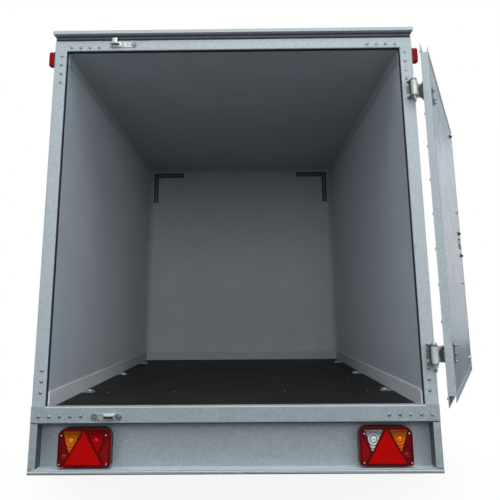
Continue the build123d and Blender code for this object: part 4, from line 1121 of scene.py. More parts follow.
@dataclass
class TailLamps:
    """Two tail lamps: a rimmed base, a raised reflector triangle, and turn, fog, reversing and side lenses.

    Places on a lamp are shares of its width from the outer side and of its height from the top.
    """

    width: float = 208 * MM
    rim: float = 5 * MM  # width of the raised rim
    sunk: float = 7 * MM  # depth of the floor behind the rim
    ripple: float = 2.4 * MM  # height of the lenses' rings
    ring: float = 9 * MM  # width of one ring
    highlight_radius: float = 8 * MM  # radius of the bright dome in a lens, a painted highlight
    reflector: tuple = ((0.487, 0.085), (0.135, 0.955), (0.845, 0.955))
    turn: tuple = ((0.085, 0.075), (0.22, 0.67), (0.44, 0.075))
    inner: tuple = ((0.54, 0.075), (0.765, 0.67), (0.90, 0.075))
    low_inner: tuple = ((0.965, 0.22), (0.80, 0.66), (0.90, 0.955), (0.965, 0.90))
    spot: tuple = (0.125, 0.745)  # the side bulb
    screws: tuple = ((0.06, 0.18), (0.905, 0.18), (0.04, 0.935), (0.93, 0.93))
    bulb: tuple = ((12, -7), (12, -4), (10.5, -2.6), (6, -1.2), (2, -0.6))  # the side bulb's section, in mm
    boss: tuple = ((5.2, 0), (5.2, 4.2), (4.4, 5))  # the screw bosses' section, in mm

    def __post_init__(self) -> None:
        """Takes the lamp's place from its lens."""
        low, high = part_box("tail_lamp_lenses")
        self.height = high[2] - low[2]
        self.face = (high[0] - self.width / 2, low[1], (low[2] + high[2]) / 2)
        self.depth = high[1] - low[1]

    def at(self, places: Sequence[Pair]) -> Array:
        """Shares of width and height as distances from the right lamp's middle."""
        share = np.atleast_2d(places)
        return np.c_[(0.5 - share[:, 0]) * self.width, (0.5 - share[:, 1]) * self.height]

    def stood(self, shape: Shape) -> Shape:
        """A shape drawn flat, brought to the right lamp's face."""
        return shape.turned_by(UPRIGHT).moved(*self.face)

    def rings(self, corners: tuple) -> Callable:
        """Saw-tooth rings about a point above the lens's middle: the distance modulo the ring width."""
        middle = self.at(corners).mean(axis=0) + (0, self.ring)
        return lambda x, y: self.ripple * (np.hypot(x - middle[0], y - middle[1]) / self.ring % 1)

    def lens(self, corners: tuple, high: float, radius: float = 3 * MM, rippled: bool = False) -> Shape:
        """A raised lens over part of the lamp.

        Args:
            corners: (share of width, share of height) of its corners.
            high: its top above the lamp's face.
            radius: radius of its corners.
            rippled: whether its top has rings.

        Returns:
            The lens on the right lamp.
        """
        levels = [(0, -self.sunk - 1 * MM), (0.3 * MM, high - 1.2 * MM), (1.4 * MM, high)]
        outline = softened(self.at(corners), radius, 5, 9)
        return self.stood(stack(outline, levels, 14, self.rings(corners) if rippled else None))

    def lit_lens(self, corners: tuple) -> Shape:
        """A lens over a bulb: rings that rise and fall round its middle, with a low bright dome under it as a
        painted highlight.

        Args:
            corners: (share of width, share of height) of its corners.

        Returns:
            The lens in slot 0 and the dome in slot 1, on the right lamp.
        """
        x, y = self.at(corners).mean(axis=0)
        # the bright dome stands for the reflector's shine: a painted highlight
        bulb = lathe(dome(self.highlight_radius, 4 * MM, -3 * MM), 20).moved(x, y - self.highlight_radius * 0.4)
        return join([self.lens(corners, -1.5 * MM, rippled=True).paint(0), self.stood(bulb).paint(1)])

    def base(self) -> Shape:
        """The base: a wall, a rounded rim and a sunk floor; the upper corners are wider than the lower.

        Returns:
            The right lamp's base.
        """
        outline = rounded(self.width, self.height, mm(28, 28, 9, 9), 7)
        rim = [(0, -self.depth), mm(0, -2), mm(0.6, -0.6), mm(2, 0), (self.rim - 1 * MM, -0.4 * MM)]
        return self.stood(stack(outline, [*rim, (self.rim, -self.sunk)], 3))

    def build(self) -> None:
        """Both lamps; the fog lens is the left one's inner lens, the reversing lens the right one's."""
        floor, spot = -self.sunk + 1 * MM, self.at([self.spot])[0]
        bulb = self.stood(lathe(np.array(self.bulb) * MM, 28).moved(*spot))
        lower = join([self.lens(self.low_inner, -3 * MM), bulb])
        reflector = self.lens(self.reflector, 0.5 * MM, 2 * MM)
        turn, inner = (self.lit_lens(corners) for corners in (self.turn, self.inner))
        places = np.c_[self.at(self.screws), np.full(len(self.screws), floor)]
        bosses = self.stood(lathe(np.array(self.boss) * MM, 16).repeated(places))
        screws = self.stood(pan_screw(3.1).repeated(places + (0, 0, self.boss[-1][1] * MM)))
        base, replaced = self.base().both_sides(), ["tail_lamp_lenses"]
        fit("tail_lamp_bases", base, Slot.RED, "lens_deep_red", stands_for=replaced)
        fit("tail_lamp_reflectors", reflector.both_sides(), Slot.RED, "lens_red")
        fit("tail_lamp_turn_lenses", turn.both_sides(), Slot.RED, "lens_amber", "painted_highlight_amber")
        fit("fog_lens", inner.mirrored(), Slot.RED, "lens_fog", "painted_highlight_red")
        fit("reversing_lens", inner, Slot.WHITE, "lens_clear", "painted_highlight_white")
        fit("tail_lamp_side_lenses", lower.both_sides(), Slot.RED, "lens_side_red")
        fit("tail_lamp_bosses", bosses.both_sides(), Slot.RED, "lens_deep_red")
        fit("tail_lamp_screws", screws.both_sides(), Slot.ZINC, *SCREW)


@dataclass
class Keepers:
    """The lock's two keepers on the header and the sill: a plate, a raised box whose slot is a black patch of
    painted shade, and two bolts.
    """

    length: float = 124 * MM
    height: float = 27 * MM
    thick: float = 3 * MM
    box: Triple = mm(50, 25, 11)  # width, height and stand of the raised box
    slot: Pair = mm(38, 11)  # width and height of its slot
    tab: Triple = mm(25, 28, 14)  # width, height and stand of the stop tab over the header's edge
    upper: Triple = mm(-34, -496, -22)  # box along the plate, plate beside the middle, above the header's top
    lower: Triple = mm(10, -505, 22)  # the same for the sill, above its foot
    tab_at: Pair = mm(-534, -4)  # beside the middle and above the header's top

    def keeper(self, box_at: float) -> Shape:
        """One keeper about its middle.

        Args:
            box_at: place of the box along the plate.

        Returns:
            The keeper, lying flat.
        """
        plate = prism(rounded(self.length, self.height, 13 * MM, 8), 0, self.thick, 0.8 * MM)
        (width, height, stand), (w, h) = self.box, self.slot
        wall = [(0, 0), (0, stand - 2 * MM), (0.8 * MM, stand - 0.6 * MM), (2.4 * MM, stand)]
        raised = stack(rounded(width, height, 5 * MM, 6), wall).moved(x=box_at)
        # the slot is drawn as a black patch in slot 1: painted shade of the opening
        slot_shade = prism(rounded(w, h, 3 * MM, 4), stand - 1 * MM, stand + 0.2 * MM).moved(x=box_at, y=-2 * MM)
        lip = tube(np.c_[np.linspace(-w / 2, w / 2, 9), np.full(9, h / 2), np.full(9, stand)], 3 * MM, 10)
        spots = [(side * (self.length / 2 - 14 * MM), 0, self.thick) for side in (-1, 1)]
        lip, bolts = lip.moved(x=box_at, y=-1 * MM), hex_bolt(14, 8).repeated(spots)
        return join([plate.paint(0), raised.paint(0), slot_shade.paint(1), lip.paint(0), bolts.paint(2)])

    def stop(self) -> Shape:
        """The stop tab, a block with a stepped bevel.

        Returns:
            The tab, lying flat.
        """
        width, height, stand = self.tab
        levels = [(0, 0), (0, stand - 2 * MM), (0.7 * MM, stand - 0.6 * MM), (2 * MM, stand)]
        return stack(rounded(width, height, 3 * MM, 4), levels).paint(0)

    def build(self) -> None:
        """Both keepers and the tab, all facing backwards."""
        (_, back, _), (_, _, top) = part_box("rear_frame")
        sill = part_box("rear_sill")[0]
        (along, x, rise), (low_along, low_x, low_rise) = self.upper, self.lower
        upper = self.keeper(along).turned_by(UPRIGHT).moved(x, back, top + rise)
        lower = self.keeper(low_along).turned_by(UPRIGHT).moved(low_x, sill[1], sill[2] + low_rise)
        tab = self.stop().turned_by(UPRIGHT).moved(self.tab_at[0], back, top + self.tab_at[1])
        # paint_black here is the painted shade of the keepers' slots
        looks = ("zinc", "paint_black", "rivet_head")
        fit("lock_keepers", join([upper, lower, tab]), Slot.ZINC, *looks, stands_for=["door_keepers"])


# ---------------------------------------------------------------- door and its fittings
@dataclass(frozen=True)
class DoorFrame:
    """How the door stands: its pieces are drawn on the closed door and swung open to its rest."""

    hinge: Vector  # a point of the hinge axis
    turn: Matrix  # opens the door
    low: Vector  # the closed edge frame's lowest corner
    high: Vector  # its highest corner
    sill: float  # height of the sill's top

    @classmethod
    def of(cls, frame: dict) -> "DoorFrame":
        """Takes the axis and the opening angle from the hinge joint, whose lower limit is the closed door.


        Returns:
            The door's frame.
        """
        joint = next(each for each in frame["joints"] if each["name"] == "rear_door_hinge")
        hinge = Vector(joint["pos_m"])
        angle = math.radians(-joint["range_deg"][0])
        turn = Matrix.Translation(hinge) @ Matrix.Rotation(angle, 4, "Z") @ Matrix.Translation(-hinge)
        back = np.array(turn.inverted())
        points = np.array([corner.co for corner in frame["nodes"]["door_frame"].data.vertices])
        points = points @ back[:3, :3].T + back[:3, 3]
        low, high = Vector(points.min(axis=0)), Vector(points.max(axis=0))
        return cls(hinge, turn, low, high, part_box("rear_sill")[1][2])

    def outside(self, shape: Shape, places: Sequence[Pair], off: float = 2 * MM) -> Shape:
        """Copies of a shape on the closed door's outer skin at (x, height above the sill), swung open."""
        return self.put(shape.turned_by(UPRIGHT), places, self.low[1] - off)

    def inside(self, shape: Shape, places: Sequence[Pair]) -> Shape:
        """Copies of a shape on the closed door's inner face, swung open."""
        return self.put(shape.turned_by(facing(0, 1, 0)), places, self.high[1])

    def put(self, shape: Shape, places: Sequence[Pair], y: float) -> Shape:
        """Copies at one depth."""
        x, z = np.atleast_2d(np.asarray(places, float)).T
        return shape.repeated(np.c_[x, np.full(len(x), y), z + self.sill]).turned_by(self.turn)


@dataclass
class Hinges:
    """Pin heads, nuts, washers, bolts and rubber pads of the two door hinges.

    Places on a hinge are (x on the closed door, height above the hinge's middle).
    """

    door: DoorFrame
    heights: Pair = mm(188, 1304)  # hinge middles above the sill
    tall: float = 78 * MM  # height of a hinge
    barrel: float = 13.5 * MM  # barrel radius
    ear: float = 6 * MM  # thickness of the bracket's ears
    strap: float = 7 * MM  # thickness of the door's strap with the gap to the frame
    bracket: tuple = mm(17, 25, 5)  # bolts inside the pin, above and below the middle, off the post
    strap_bolts: tuple = (mm(698, -22), mm(698, 22), mm(664, 0))
    strap_rivets: tuple = (mm(757, -18), mm(757, 19))
    nuts: tuple = (mm(637, -34), mm(628, 30), mm(606, -6))
    pad: tuple = mm(36, 10, 744.2, 751)  # half heights at skin and strap, and its two sides
    strip: tuple = mm(16, 76, 648)  # width, height and place of the dark strip inside

    def pins(self) -> None:
        """A domed head above, a bush and a nut below, and washers between ears and knuckle."""
        half, b = self.tall / 2, self.barrel
        x, y, _ = self.door.hinge
        middles = grid_of([x], [y], [self.door.sill + height for height in self.heights])
        head = lathe([mm(10.5, 0), mm(10.5, 5), *dome(9.5 * MM, 6 * MM, 5 * MM)], 24).moved(z=half)
        bush = lathe([mm(8.5, -7), mm(8.5, 0.5)], 20).moved(z=-half)
        nut = hex_bolt(14.4, 9).turned_by(UPSIDE_DOWN).moved(z=-half - 6 * MM)
        fit("hinge_pins", join([head, bush, nut]).repeated(middles))
        inner, outer = b - 4 * MM, b - 0.1 * MM
        ring = [(inner, -1 * MM), (outer, -0.9 * MM), (outer, 0.9 * MM), (inner, 1 * MM)]
        seats = middles[:, None, :] + np.array([[0, 0, 1], [0, 0, -1]]) * (half - self.ear - 0.5 * MM)
        washers = lathe(ring, 28, closed=True).repeated(seats.reshape(-1, 3))
        # washers in the darker hinge zinc: painted shade between ears and knuckle
        fit("hinge_washers", washers, Slot.ZINC, "hinge_painted_shade")

    def bolts(self) -> None:
        """Bolts through the bracket into the post, and through the strap and the door to nuts inside."""
        inward, rise, off = self.bracket
        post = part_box("rear_frame")[0][1]
        heights = [self.door.sill + h + side * rise for h in self.heights for side in (-1, 1)]
        places = grid_of([self.door.hinge[0] - inward], [post - off], heights)
        fit("hinge_bracket_bolts", hex_bolt(9, 5).turned_by(UPRIGHT).repeated(places))
        outer = self.door.outside(hex_bolt(13, 6), self.all_of(self.strap_bolts), self.strap)
        small = dome_rivet(4.6, 2.6).turned_by(facing(0, 1, 0))
        near = self.door.put(small, self.all_of(self.strap_rivets), self.inner_face())
        fit("hinge_strap_bolts", join([outer, near]), body=Body.DOOR)
        nuts = self.door.inside(hex_bolt(13, 7, 6), self.all_of(self.nuts))
        fit("hinge_nuts", nuts, Slot.ZINC, "zinc_worn", body=Body.DOOR)

    def all_of(self, places: Sequence[Pair]) -> list[Pair]:
        """Places about a hinge's middle, taken to both hinges."""
        return [(x, height + rise) for height in self.heights for x, rise in places]

    def inner_face(self) -> float:
        """Depth of the strap's face towards the trailer, beside its barrel, with the door closed."""
        return self.door.hinge[1] + self.barrel

    def pads(self) -> None:
        """A black block between the door's skin and each strap, and a dark strip by the nuts inside.

        A block's outline is a triangle with its blunt point at the strap, carried across the door's edge.
        """
        wide, narrow, near, far = self.pad
        skin, strap = self.door.low[1] - 2 * MM, self.inner_face()
        corners = [(skin, -wide), (skin, wide), (strap, narrow), (strap, -narrow)]
        block = prism(softened(corners, 2 * MM, 3), near, far).turned_by(SIDEWAYS)
        blocks = block.repeated([(0, 0, self.door.sill + height) for height in self.heights])
        fit("hinge_pads", blocks.turned_by(self.door.turn), Slot.RUBBER, body=Body.DOOR)
        width, height, x = self.strip
        plate = stack(rounded(width, height, 5 * MM, 4), [(0, 0), mm(0, 1.6), mm(0.5, 2)])
        strips = self.door.inside(plate, [(x, height) for height in self.heights])
        fit("hinge_backing_plates", strips, Slot.PAINT, body=Body.DOOR)

    def build(self) -> None:
        """All of the hinge fittings."""
        self.pins()
        self.bolts()
        self.pads()


@dataclass
class LockFittings:
    """The lock's bolts, its handle grip and cap outside, and its nuts, clamps and plates inside.

    Places are (x from the rod, height above the sill) on the closed door.
    """

    door: DoorFrame
    rod_x: float = -0.538  # the rod on the closed door
    guides: tuple = (0.06, 0.34, 0.62, 0.94)  # guide heights as shares of the opening's height
    opening: float = 1.51  # the opening's height
    handle: float = 0.48  # handle height as a share of the opening's height
    dark_nuts: tuple = (mm(40, 800), mm(-18, 673), mm(40, 1405))
    clamps: tuple = (mm(10, 768), mm(10, 731), mm(10, 717))
    plates: tuple = (mm(0, 749), mm(-10, 35))
    grip: tuple = mm(126, 36, 130)  # the grip's foot from the rod and from the door's frame, and its length
    ring: Pair = mm(11, 0.48)  # the grip's radius and pitch of its rings, and how far they swell
    flat: Pair = (0.62, 1.45)  # how much the grip is squeezed and spread across
    cap: Pair = mm(6.5, 24)  # the cap ahead of the grip's axis and above it

    def on_rod(self, places: Sequence[Pair]) -> list[Pair]:
        """Places from the rod as places on the door."""
        return [(self.rod_x + x, z) for x, z in places]

    def build(self) -> None:
        """Bolts and nuts first, then the clamps and plates of the inner face, and the grip."""
        spots = self.on_rod([(x, share * self.opening) for share in self.guides for x in mm(-22, 22)])
        fit("lock_bolts", self.door.outside(hex_bolt(10, 5), spots, 6 * MM), body=Body.DOOR)
        fit("lock_nuts", self.door.inside(hex_bolt(10, 6, 5), spots), body=Body.DOOR)
        black = self.door.inside(hex_bolt(17, 9, 7), self.on_rod(self.dark_nuts))
        fit("lock_handle_nuts", black, Slot.PAINT, body=Body.DOOR)
        bar = prism(rounded(74 * MM, 8 * MM, 3 * MM, 3), 0, 6 * MM, 1 * MM)
        fit("lock_clamps", self.door.inside(bar, self.on_rod(self.clamps)), Slot.PAINT, body=Body.DOOR)
        foot = stack(rounded(90 * MM, 30 * MM, 12 * MM, 5), [(0, 0), mm(0, 2), mm(0.8, 2.6)])
        fit("lock_backing_plates", self.door.inside(foot, self.on_rod(self.plates)), body=Body.DOOR)
        self.hold()

    def hold(self) -> None:
        """A sleeve on the handle whose rings swell and narrow along it, and the cap over the pivot."""
        (out, off, length), (radius, swell), (ahead, above) = self.grip, self.ring, self.cap
        along = np.linspace(0, length, 40)
        radii = radius + swell * np.abs(np.sin(along * math.pi / radius))
        sleeve = lathe(np.c_[radii, along], 18).turned_by(Matrix.Diagonal((*self.flat, 1, 1)))
        y, z = self.door.low[1] - off, self.door.sill + self.handle * self.opening
        placed = sleeve.turned_by(facing(1, 0, 0)).moved(self.rod_x + out, y, z).turned_by(self.door.turn)
        fit("lock_handle_grip", placed, Slot.RUBBER, body=Body.DOOR)
        cap = lathe([mm(13, 0), mm(13, 3), mm(9, 5), mm(3, 5.4)], 22).moved(self.rod_x, y + ahead, z + above)
        fit("lock_handle_cap", cap.turned_by(self.door.turn), body=Body.DOOR)


@dataclass
class DoorRivets:
    """Rivets along the edge of the door's outer skin."""

    door: DoorFrame
    inset: float = 13 * MM  # from the edge frame's outside
    pitch: float = 150 * MM  # about how far apart

    def run(self, axis: int) -> Array:
        """Places along one axis of the door."""
        low, high = self.door.low[axis], self.door.high[axis]
        return np.linspace(low + self.inset, high - self.inset, round((high - low) / self.pitch) + 1)

    def build(self) -> None:
        """Evenly spaced along all four sides."""
        xs, zs = self.run(0), self.run(2) - self.door.sill
        level = [(x, z) for z in (zs[0], zs[-1]) for x in xs]
        upright = [(x, z) for x in (xs[0], xs[-1]) for z in zs[1:-1]]
        fit("door_rivets", self.door.outside(dome_rivet(), level + upright), body=Body.DOOR)


# ---------------------------------------------------------------- wheels and mudguards
@dataclass
class RoadWheels:
    """Tyres with a cut tread and ridged sidewalls, and the bolts, hub caps and valves of both road wheels.

    The tyre's section is written in mm: across from its middle, and radius.
    """

    radius: float = 291.8  # tyre radius at its middle
    pitches: int = 60  # tread blocks round the tyre
    grooves: tuple = (-42, -15, 15, 42)  # middles of the grooves that run round the tyre
    groove: float = 3.5  # half width of a groove
    depth: float = 7.0  # tread depth
    cross: float = 5.5  # depth of the grooves across
    shoulder: float = 57.5  # half width of the tread
    crown: float = 3.0  # how far the radius falls to the shoulder
    cut_from: Pair = (18.4, 57)  # where the grooves across begin and end
    slant: float = 0.45  # how far a cross groove leads round between middle and shoulder, in blocks
    # sidewall points from the shoulder to the bead
    side: tuple = (
        (66.5, 284.5), (70, 278.5), (73, 272), (76.6, 264), (78.4, 263), (79, 261), (78.6, 259.5),
        (80.6, 250), (82, 240), (82.4, 230), (81.4, 217), (79, 208.5), (79.4, 206.5), (76.8, 203),
        (69, 192), (61, 185), (54, 181), (52.5, 168),
    )
    bolts: tuple = (5, 56 * MM)  # count and distance from the axle
    disc: float = 34 * MM  # bolt seats outside the tyre's middle
    stem: tuple = ((20, 50, 138), (34, 50, 137), (46, 48, 133))  # the valve's line, in mm
    tip: tuple = ((45, 48.2, 133.4), (52, 47, 131), (58, 46, 129))  # its cap's line

    def tread_line(self) -> tuple[Array, Array, Array, Array]:
        """Places across the tread, their radii, which lie in a groove, and which ribs the cross grooves cut.

        The crown's radius falls with the square of the distance from the middle.

        Returns:
            Four arrays of one length, in mm where they are sizes.
        """
        inner, reach = self.groove - 0.7, self.groove
        cuts = [(c + s * e, e < reach) for c in self.grooves for s in (-1, 1) for e in (inner, reach)]
        plain = [(s * x, False) for s in (-1, 1) for x in (self.shoulder, 54, 48, 28, 6)]
        across, sunk = (np.array(v, float) for v in zip(*sorted(cuts + plain)))
        radii = self.radius - self.crown * (across / self.shoulder) ** 2
        start, end = self.cut_from
        return across, radii, sunk, ((np.abs(across) > start) & (np.abs(across) < end)).astype(float)

    def tyre(self) -> Shape:
        """A closed section carried round the axle.

        The radius loses the tread depth in the grooves that run round and in the slanted ones across. These
        follow the grid: each column of points leads round by the slant times its distance from the middle.

        Returns:
            The tyre about the origin.
        """
        across, radii, sunk, cut = self.tread_line()
        side, end = np.array(self.side), self.cut_from[1]
        x = np.r_[-side[::-1, 0], across, side[:, 0]]
        r = np.r_[side[::-1, 1], radii, side[:, 1]]
        rim = np.zeros(len(side))
        sunk, cut = np.r_[rim, sunk, rim], np.r_[rim, cut, rim]
        steps, mask = np.array([0, 0.03, 0.17, 0.20, 0.60]), np.tile([0, 1.0, 1.0, 0, 0], self.pitches)
        turn = (np.arange(self.pitches)[:, None] + steps).ravel() * TURN / self.pitches
        lead = self.slant * TURN / self.pitches * np.minimum(np.abs(x), end) / end
        angle = turn[None, :] + lead[:, None]
        depth = np.maximum(sunk[:, None] * self.depth, cut[:, None] * mask[None, :] * self.cross)
        reach = (r[:, None] - depth) * MM
        flat = np.broadcast_to(x[:, None] * MM, reach.shape)
        grid = np.stack([flat, reach * np.cos(angle), reach * np.sin(angle)], -1)
        return Shape(grid.reshape(-1, 3), lattice(len(x), len(turn), True, True)).outward()

    def metal(self) -> Shape:
        """Wheel bolts and the hub cap, facing the right side.

        Returns:
            The bolts and the cap about the wheel's middle.
        """
        count, reach = self.bolts
        a = np.arange(count) * TURN / count
        places = np.c_[np.full(count, self.disc), -reach * np.sin(a), reach * np.cos(a)]
        hub = lathe([mm(28, 50), mm(28, 60), *dome(26 * MM, 5.5 * MM, 63 * MM, 1.45)], 32)
        return join([hex_bolt(17, 13).turned_by(SIDEWAYS).repeated(places), hub.turned_by(facing(1, 0, 0))])

    def build(self) -> None:
        """Each wheel's tyre stands for its CAD tyre; the rest is added to the CAD wheel."""
        tyre, metal = self.tyre(), self.metal()
        lines = ((self.stem, 3.6 * MM), (self.tip, 4.6 * MM))
        stem, tip = (tube(np.array(line) * MM, thick, 12) for line, thick in lines)
        for side, name, body in ((-1, "left", Body.LEFT_WHEEL), (1, "right", Body.RIGHT_WHEEL)):
            low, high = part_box(f"{name}_tyre")
            turn = Matrix.Translation((Vector(low) + Vector(high)) / 2) @ Matrix.Diagonal((side, 1, 1, 1))
            tread, rest = tyre.turned_by(turn), {"body": body, "stands_for": [f"{name}_tyre"], "smooth": 28}
            fit(f"{name}_tyre_tread", tread, Slot.TYRE, "tyre_rubber", **rest)
            fit(f"{name}_wheel_bolts", metal.turned_by(turn), body=body)
            fit(f"{name}_valve", stem.turned_by(turn), Slot.RUBBER, body=body)
            fit(f"{name}_valve_cap", tip.turned_by(turn), Slot.PLASTIC, body=body)


@dataclass
class MudguardTrim:
    """Rolled edges, crown ribs and bolts of the mudguards."""

    bead: float = 3.4 * MM  # radius of the rolled edges
    lip: float = 26 * MM  # the inner rolled edge under the guard's top
    rib: float = 2.6 * MM  # radius of the crown ribs
    ribs: tuple = mm(865, 925, 985)  # ribs and, further down, bolts beside the middle
    bolts: tuple = mm(845, 895, 955)
    bolt_rise: float = -36 * MM  # height of the bolts
    below: float = 0.165  # how far round under the axle's height the guard reaches, radians

    def arch(self, axle: Pair, x: float, reach: float, thick: float) -> Shape:
        """A tube along an arc about the wheel's axle at a distance from it."""
        a = np.linspace(-self.below, math.pi + self.below, 72)
        return tube(np.c_[np.full(72, x), axle[0] + reach * np.cos(a), axle[1] + reach * np.sin(a)], thick, 8)

    def build(self) -> None:
        """Edges and ribs first, then the bolts through the two straps."""
        (_, _, _), (out, _, top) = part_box("mudguards")
        (_, y0, z0), (_, y1, z1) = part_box("right_tyre")
        axle = ((y0 + y1) / 2, (z0 + z1) / 2)
        reach, edge = top - axle[1], out - self.bead - 0.2 * MM
        parts = [self.arch(axle, edge, reach - inset, self.bead) for inset in (self.lip, self.bead)]
        parts += [self.arch(axle, x, reach - 0.4 * MM, self.rib) for x in self.ribs]
        fit("mudguard_edges", join(parts).both_sides(), Slot.PLASTIC)
        rise = math.asin((self.bolt_rise - axle[1]) / reach)
        bolts = []
        for ahead in (1, -1):
            way = Vector((0, ahead * math.cos(rise), math.sin(rise)))
            foot = Vector((0, *axle)) + reach * way
            head = hex_bolt(13, 7).turned_by(facing(*way))
            bolts.append(head.repeated([(x, foot.y, foot.z) for x in self.bolts]))
        fit("mudguard_bolts", join(bolts).both_sides())


# ---------------------------------------------------------------- front, drawbar and underside
@dataclass
class SideAndFrontLamps:
    """Amber reflectors on the side rails and the two white front lamps."""

    reflector: Pair = mm(86, 32)  # width and height
    places: tuple = mm(190, 1290, 2300)  # reflectors ahead of the rear
    rise: float = -36 * MM  # their height
    front: Pair = mm(64, 34)  # width and height of a front lens
    inset: float = 35 * MM  # a front lamp's middle from its outer side
    foot: float = 6 * MM  # how much larger the black feet are
    rib: Pair = mm(0.5, 4)  # depth and width of the lenses' crossed ribs

    def lens(self, size: Pair, low: float, high: float) -> Shape:
        """A rounded lens whose edge curves in towards its face."""
        levels = [(0, low), (0, high - 2 * MM), (0.6 * MM, high - 0.7 * MM), (2 * MM, high)]
        return stack(rounded(*size, 6 * MM, 5), levels, 6, ribs(*self.rib, crossed=True))

    def build(self) -> None:
        """Reflectors face out; front lamps face ahead and stand for the CAD ones."""
        rail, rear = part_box("chassis_rails")[1][0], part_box("rear_frame")[0][1]
        spots = grid_of([rail], [rear + place for place in self.places], [self.rise])
        outline = rounded(*(size + self.foot for size in self.reflector), 8 * MM, 5)
        parts = (prism(outline, 0, 2.6 * MM, 0.6 * MM), self.lens(self.reflector, 0, 6 * MM))
        foot, lens = (part.turned_by(SIDEWAYS).repeated(spots).both_sides() for part in parts)
        fit("side_reflector_feet", foot, Slot.PLASTIC)
        fit("side_reflectors", lens, Slot.RED, "reflector_amber")
        low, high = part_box("front_lamps")
        centre, depth = (high[0] - self.inset, low[1], (low[2] + high[2]) / 2), high[1] - low[1]
        outline = rounded(*(size + self.foot for size in self.front), 9 * MM, 5)
        shell = stack(outline, [(0, 0), (0, depth * 0.45), (1 * MM, depth * 0.5)])
        lens = self.lens(self.front, 2 * MM, depth)
        lens, shell = (part.turned_by(facing(0, 1, 0)).moved(*centre).both_sides() for part in (lens, shell))
        fit("front_lamp_lenses", lens, Slot.WHITE, "lens_white", stands_for=["front_lamps"])
        fit("front_lamp_feet", shell, Slot.PLASTIC)


@dataclass
class DrawbarFittings:
    """Bolts, clamps and grips of the coupling, the overrun housing, the handbrake and the jockey leg."""

    shaft: float = 50 * MM  # height of the coupling's shaft
    housing_bolts: tuple = (76 * MM, mm(-498, -322))  # beside the middle, and y of both rows
    through: tuple = (31.5 * MM, mm(-142, -104))  # the coupling's cross bolts
    pivot: tuple = mm(3, -450, 60)  # the lever's pivot: inside its face, y and height
    lever: tuple = (mm(58, -565, 331), mm(58, -590, 390))  # foot and top of the handbrake's grip
    crank: tuple = mm(-135, -520, 350, 419)  # the crank knob's place and its two heights
    clamp: tuple = (mm(33, -4), mm(35.2, -4), mm(35.2, 4), mm(33, 4))  # section of the gaiter's clamps

    def sleeve(self, length: float, radius: float, wave: float) -> Shape:
        """A grip whose radius swells by the absolute sine along it and closes in a dome at its end.

        Args:
            length: its length.
            radius: its largest radius.
            wave: depth of its ridges.

        Returns:
            The grip, standing on the origin.
        """
        along = np.linspace(0, length - radius * 0.5, 48)
        swell = radius - wave + wave * np.abs(np.sin(along * math.pi / (7 * MM)))
        end = [(radius * math.cos(a), length - radius * 0.5 * (1 - math.sin(a))) for a in (0.4, 0.9, 1.3)]
        return lathe([*zip(swell, along), *end], 22)

    def build(self) -> None:
        """Bolts first, then clamps and grips."""
        x, ys = self.housing_bolts
        plate = hex_bolt(15, 9).repeated(grid_of([-x, x], ys, [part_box("jockey_clamp")[0][2]]))
        side, (out, spots), (inside, y, z) = hex_bolt(17, 10).turned_by(SIDEWAYS), self.through, self.pivot
        through = side.repeated([(out, spot, self.shaft) for spot in spots]).both_sides()
        pivot = side.moved(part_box("handbrake_lever")[1][0] - inside, y, z)
        fit("coupling_bolts", join([plate, through, pivot]))
        ring = lathe(self.clamp, 40, closed=True).turned_by(facing(0, 1, 0)).outward()
        low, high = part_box("overrun_gaiter")
        fit("gaiter_clamps", ring.repeated([(0, y, self.shaft) for y in (low[1] + 5 * MM, high[1] - 5 * MM)]))
        foot, top = (Vector(point) for point in self.lever)
        grip = self.sleeve((top - foot).length, 17 * MM, 1.6 * MM)
        grip = grip.turned_by(facing(*(top - foot))).moved(*foot)
        x, y, low, high = self.crank
        knob = self.sleeve(high - low, 15.6 * MM, 1.2 * MM).moved(x, y, low)
        fit("lever_grips", join([grip, knob]), Slot.PLASTIC)


@dataclass
class JockeyRoller:
    """The jockey wheel: a grooved solid tyre on a pressed rim, and its axle nuts; sections are in mm."""

    tyre: tuple = (  # half section, radius and across
        (70, 30), (88, 30), (97, 27.5), (102, 23), (104.4, 17), (104.6, 11), (101, 10), (101, 7), (104.8, 6),
        (104.9, 0),
    )
    rim: tuple = ((18, 34), (21, 17), (34, 13), (56, 14), (62, 20), (66, 27), (72, 29))
    bore: float = 6.1  # radius of the axle's hole
    nut_inset: float = 4 * MM  # nuts inside the fork's outer face

    def ring(self, half: Sequence[Pair], inner: float) -> Shape:
        """A closed section, mirrored about its middle, turned about the axle.

        Args:
            half: (radius, across) points of half the section, in mm.
            inner: radius of its bore, in mm.

        Returns:
            The ring about X.
        """
        section = [(inner, half[0][1]), *half] if half[0][0] > inner else list(half)
        both = section + [(r, -h) for r, h in reversed(section) if h > 0]
        return lathe(np.array(both) * MM, 48, closed=True).outward().turned_by(facing(1, 0, 0))

    def build(self) -> None:
        """The tyre and rim stand for the CAD wheel and turn with it; the nuts swing with the fork."""
        low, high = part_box("jockey_wheel")
        centre = (Vector(low) + Vector(high)) / 2
        tyre, rim = (self.ring(*each).moved(*centre) for each in ((self.tyre, 70), (self.rim, self.bore)))
        fit("jockey_tyre", tyre, Slot.RUBBER, "tyre_rubber", body=Body.ROLLER, stands_for=["jockey_wheel"])
        fit("jockey_rim", rim, Slot.RUBBER, "galvanised_dull", body=Body.ROLLER)
        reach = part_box("jockey_fork")[1][0] - centre[0] - self.nut_inset
        nut = hex_bolt(17, 8).turned_by(SIDEWAYS).moved(x=reach)
        fit("jockey_axle_nuts", nut.both_sides().moved(*centre), body=Body.LEG)


